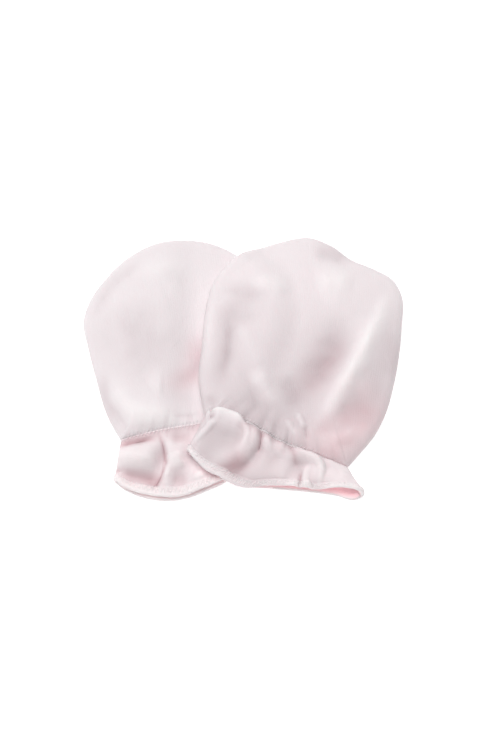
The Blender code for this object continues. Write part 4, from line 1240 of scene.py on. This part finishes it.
def wrist_cord(mitten, back, cuff):
    """The overlocked seam: a soft round edge of thread that fills the groove between panel and cuff."""
    column = np.linspace(0.5, WRIST_STEPS - 0.5, 3 * WRIST_STEPS)
    last_row = np.full(len(column), len(back) - 1.01)
    high, high_up = outer_points(back, np.full(back.shape[:2], WALL), last_row, column)
    low, low_up = outer_points(cuff, np.full(cuff.shape[:2], WALL), np.zeros(len(column)), column)
    ups = unit(high_up + low_up)
    first, change, begins, width = CORD_SHOWS[mitten.name]
    shows = first + change * soft_step((column / WRIST_STEPS - begins) / width)
    paths = (high + low) / 2.0 - (CORD_SUNK - CORD_RISE * shows)[:, None] * ups
    mesh = thread_mesh(mitten.name + "_wrist_cord", paths[None], ups[None], CORD_RADIUS)
    # The cord emits a painted glow where it shows, lightening the seam's line.
    keep_numbers(mesh, "painted_glow", np.repeat(CORD_GLOW * shows, THREAD_SIDES))
    return mesh


def hem_loops(mitten, cuff):
    """One long zigzag round the hem: up to the fold line and over the edge in turn, a stitch every pitch."""
    walls = np.broadcast_to(cuff_walls(np.linspace(0.0, 1.0, CUFF_ROWS)[:, None]), cuff.shape[:2])
    columns = cuff.shape[1]
    around = lengths_along(np.vstack([cuff[-1], cuff[-1, :1]]))
    count = int(around[-1] / LOOP_PITCH)
    place = (np.arange(count)[:, None] + np.array(LOOP_STAGES)).ravel() / count * around[-1]
    column = np.interp(place, around, np.arange(columns + 1))
    points, ups = outer_points(cuff, walls, np.tile(LOOP_HEIGHTS, count) * (CUFF_ROWS - 1), column)
    points = points + LOOP_RADIUS * ups
    at_edge = slice(None, None, len(LOOP_STAGES))
    ends = unit(cuff[-1] - cuff[-3])[np.round(column[at_edge]).astype(int) % columns]
    points[at_edge] += (HEM_WALL / 2.0) * ends - LOOP_END_DEPTH * ups[at_edge]
    points, ups = np.vstack([points, points[:1]]), np.vstack([ups, ups[:1]])
    return thread_mesh(mitten.name + "_hem_stitches", points[None], ups[None], LOOP_RADIUS)


sewn = ((LEFT, left_back_grid, left_cuff_grid), (RIGHT, right_back_grid, right_cuff_grid))
for mitten, back, cuff in sewn:
    new_piece("thread_" + mitten.name + "_wrist", wrist_rungs(mitten, back, cuff), interlock)
    new_piece("thread_" + mitten.name + "_hem", hem_loops(mitten, cuff), thread)
    new_piece("seam_" + mitten.name + "_wrist", wrist_cord(mitten, back, cuff), interlock)

# %% [markdown]
# The panels are rounded shapes, so their area is less than their width times their length. The cuffs are
# strips, given without their turned-in hem and allowances, since those don't show.

# %% Six pieces of cloth
print("six pieces of cloth")

# %% [markdown]
# The mittens lie on a white table under soft light, with so much of it around that the table burns out to
# white and shadows nearly vanish. A broad lamp high above, a little to the left and towards the fingertips,
# an even white sky and a faint glow of the table itself do that. The camera looks down steeply through a
# long lens.

# %% Table, light and camera
TABLE_REACH, TABLE_BELOW, TABLE_GLOW = 3.0, 0.0002, 0.55
LAMP_PLACE, LAMP_SIZE, LAMP_POWER = (-0.24, 0.16, 1.4), 0.9, 17.6
SKY_STRENGTH = 0.30
WHITE = (1.0, 1.0, 1.0, 1.0)


def white_table():
    """A flat white sheet just under the cloth."""
    mesh = bpy.data.meshes.new("table")
    corners = ((-1.0, -1.0), (1.0, -1.0), (1.0, 1.0), (-1.0, 1.0))
    points = [(TABLE_REACH * x, TABLE_REACH * y, -TABLE_BELOW) for x, y in corners]
    mesh.from_pydata(points, [], [(0, 1, 2, 3)])
    material = bpy.data.materials.new("white_table")
    material.use_nodes = True
    shader = material.node_tree.nodes["Principled BSDF"]
    shader.inputs["Base Color"].default_value = linear("#F4F4F4")
    shader.inputs["Roughness"].default_value = 0.9
    shader.inputs["Emission Color"].default_value = WHITE
    shader.inputs["Emission Strength"].default_value = TABLE_GLOW
    shader.inputs["Specular IOR Level"].default_value = 0.0
    mesh.materials.append(material)
    table = bpy.data.objects.new("table", mesh)
    bpy.context.scene.collection.objects.link(table)


def lamp(name, place, target, size, power):
    """A square soft lamp that faces its target."""
    light = bpy.data.lights.new(name, "AREA")
    light.shape, light.size, light.energy = "SQUARE", size, power
    holder = bpy.data.objects.new(name, light)
    bpy.context.scene.collection.objects.link(holder)
    holder.location = place
    way = np.array(target) - np.array(place)
    tilt = np.arctan2(np.hypot(way[0], way[1]), -way[2])
    holder.rotation_euler = (tilt, 0.0, np.arctan2(way[1], way[0]) - np.pi / 2.0)


white_table()
lamp("window", LAMP_PLACE, (0.0, 0.0, 0.0), LAMP_SIZE, LAMP_POWER)
sky = bpy.data.worlds.new("sky")
bpy.context.scene.world = sky
sky.use_nodes = True
sky.node_tree.nodes["Background"].inputs["Color"].default_value = WHITE
sky.node_tree.nodes["Background"].inputs["Strength"].default_value = SKY_STRENGTH
bpy.context.scene.view_settings.view_transform = "Standard"

ELEVATION = np.radians(68.0)
DISTANCE = 1.2
AIM = np.array([0.0026, -0.0027, 0.0])
camera = bpy.data.objects.new("camera", bpy.data.cameras.new("camera"))
camera.data.sensor_width = 36.0
camera.data.lens = 144.0
camera.location = AIM + DISTANCE * np.array([0.0, -np.cos(ELEVATION), np.sin(ELEVATION)])
camera.rotation_euler = (np.pi / 2.0 - ELEVATION, 0.0, 0.0)
bpy.context.scene.collection.objects.link(camera)
bpy.context.scene.camera = camera
print("camera at", [round(value, 3) for value in camera.location])
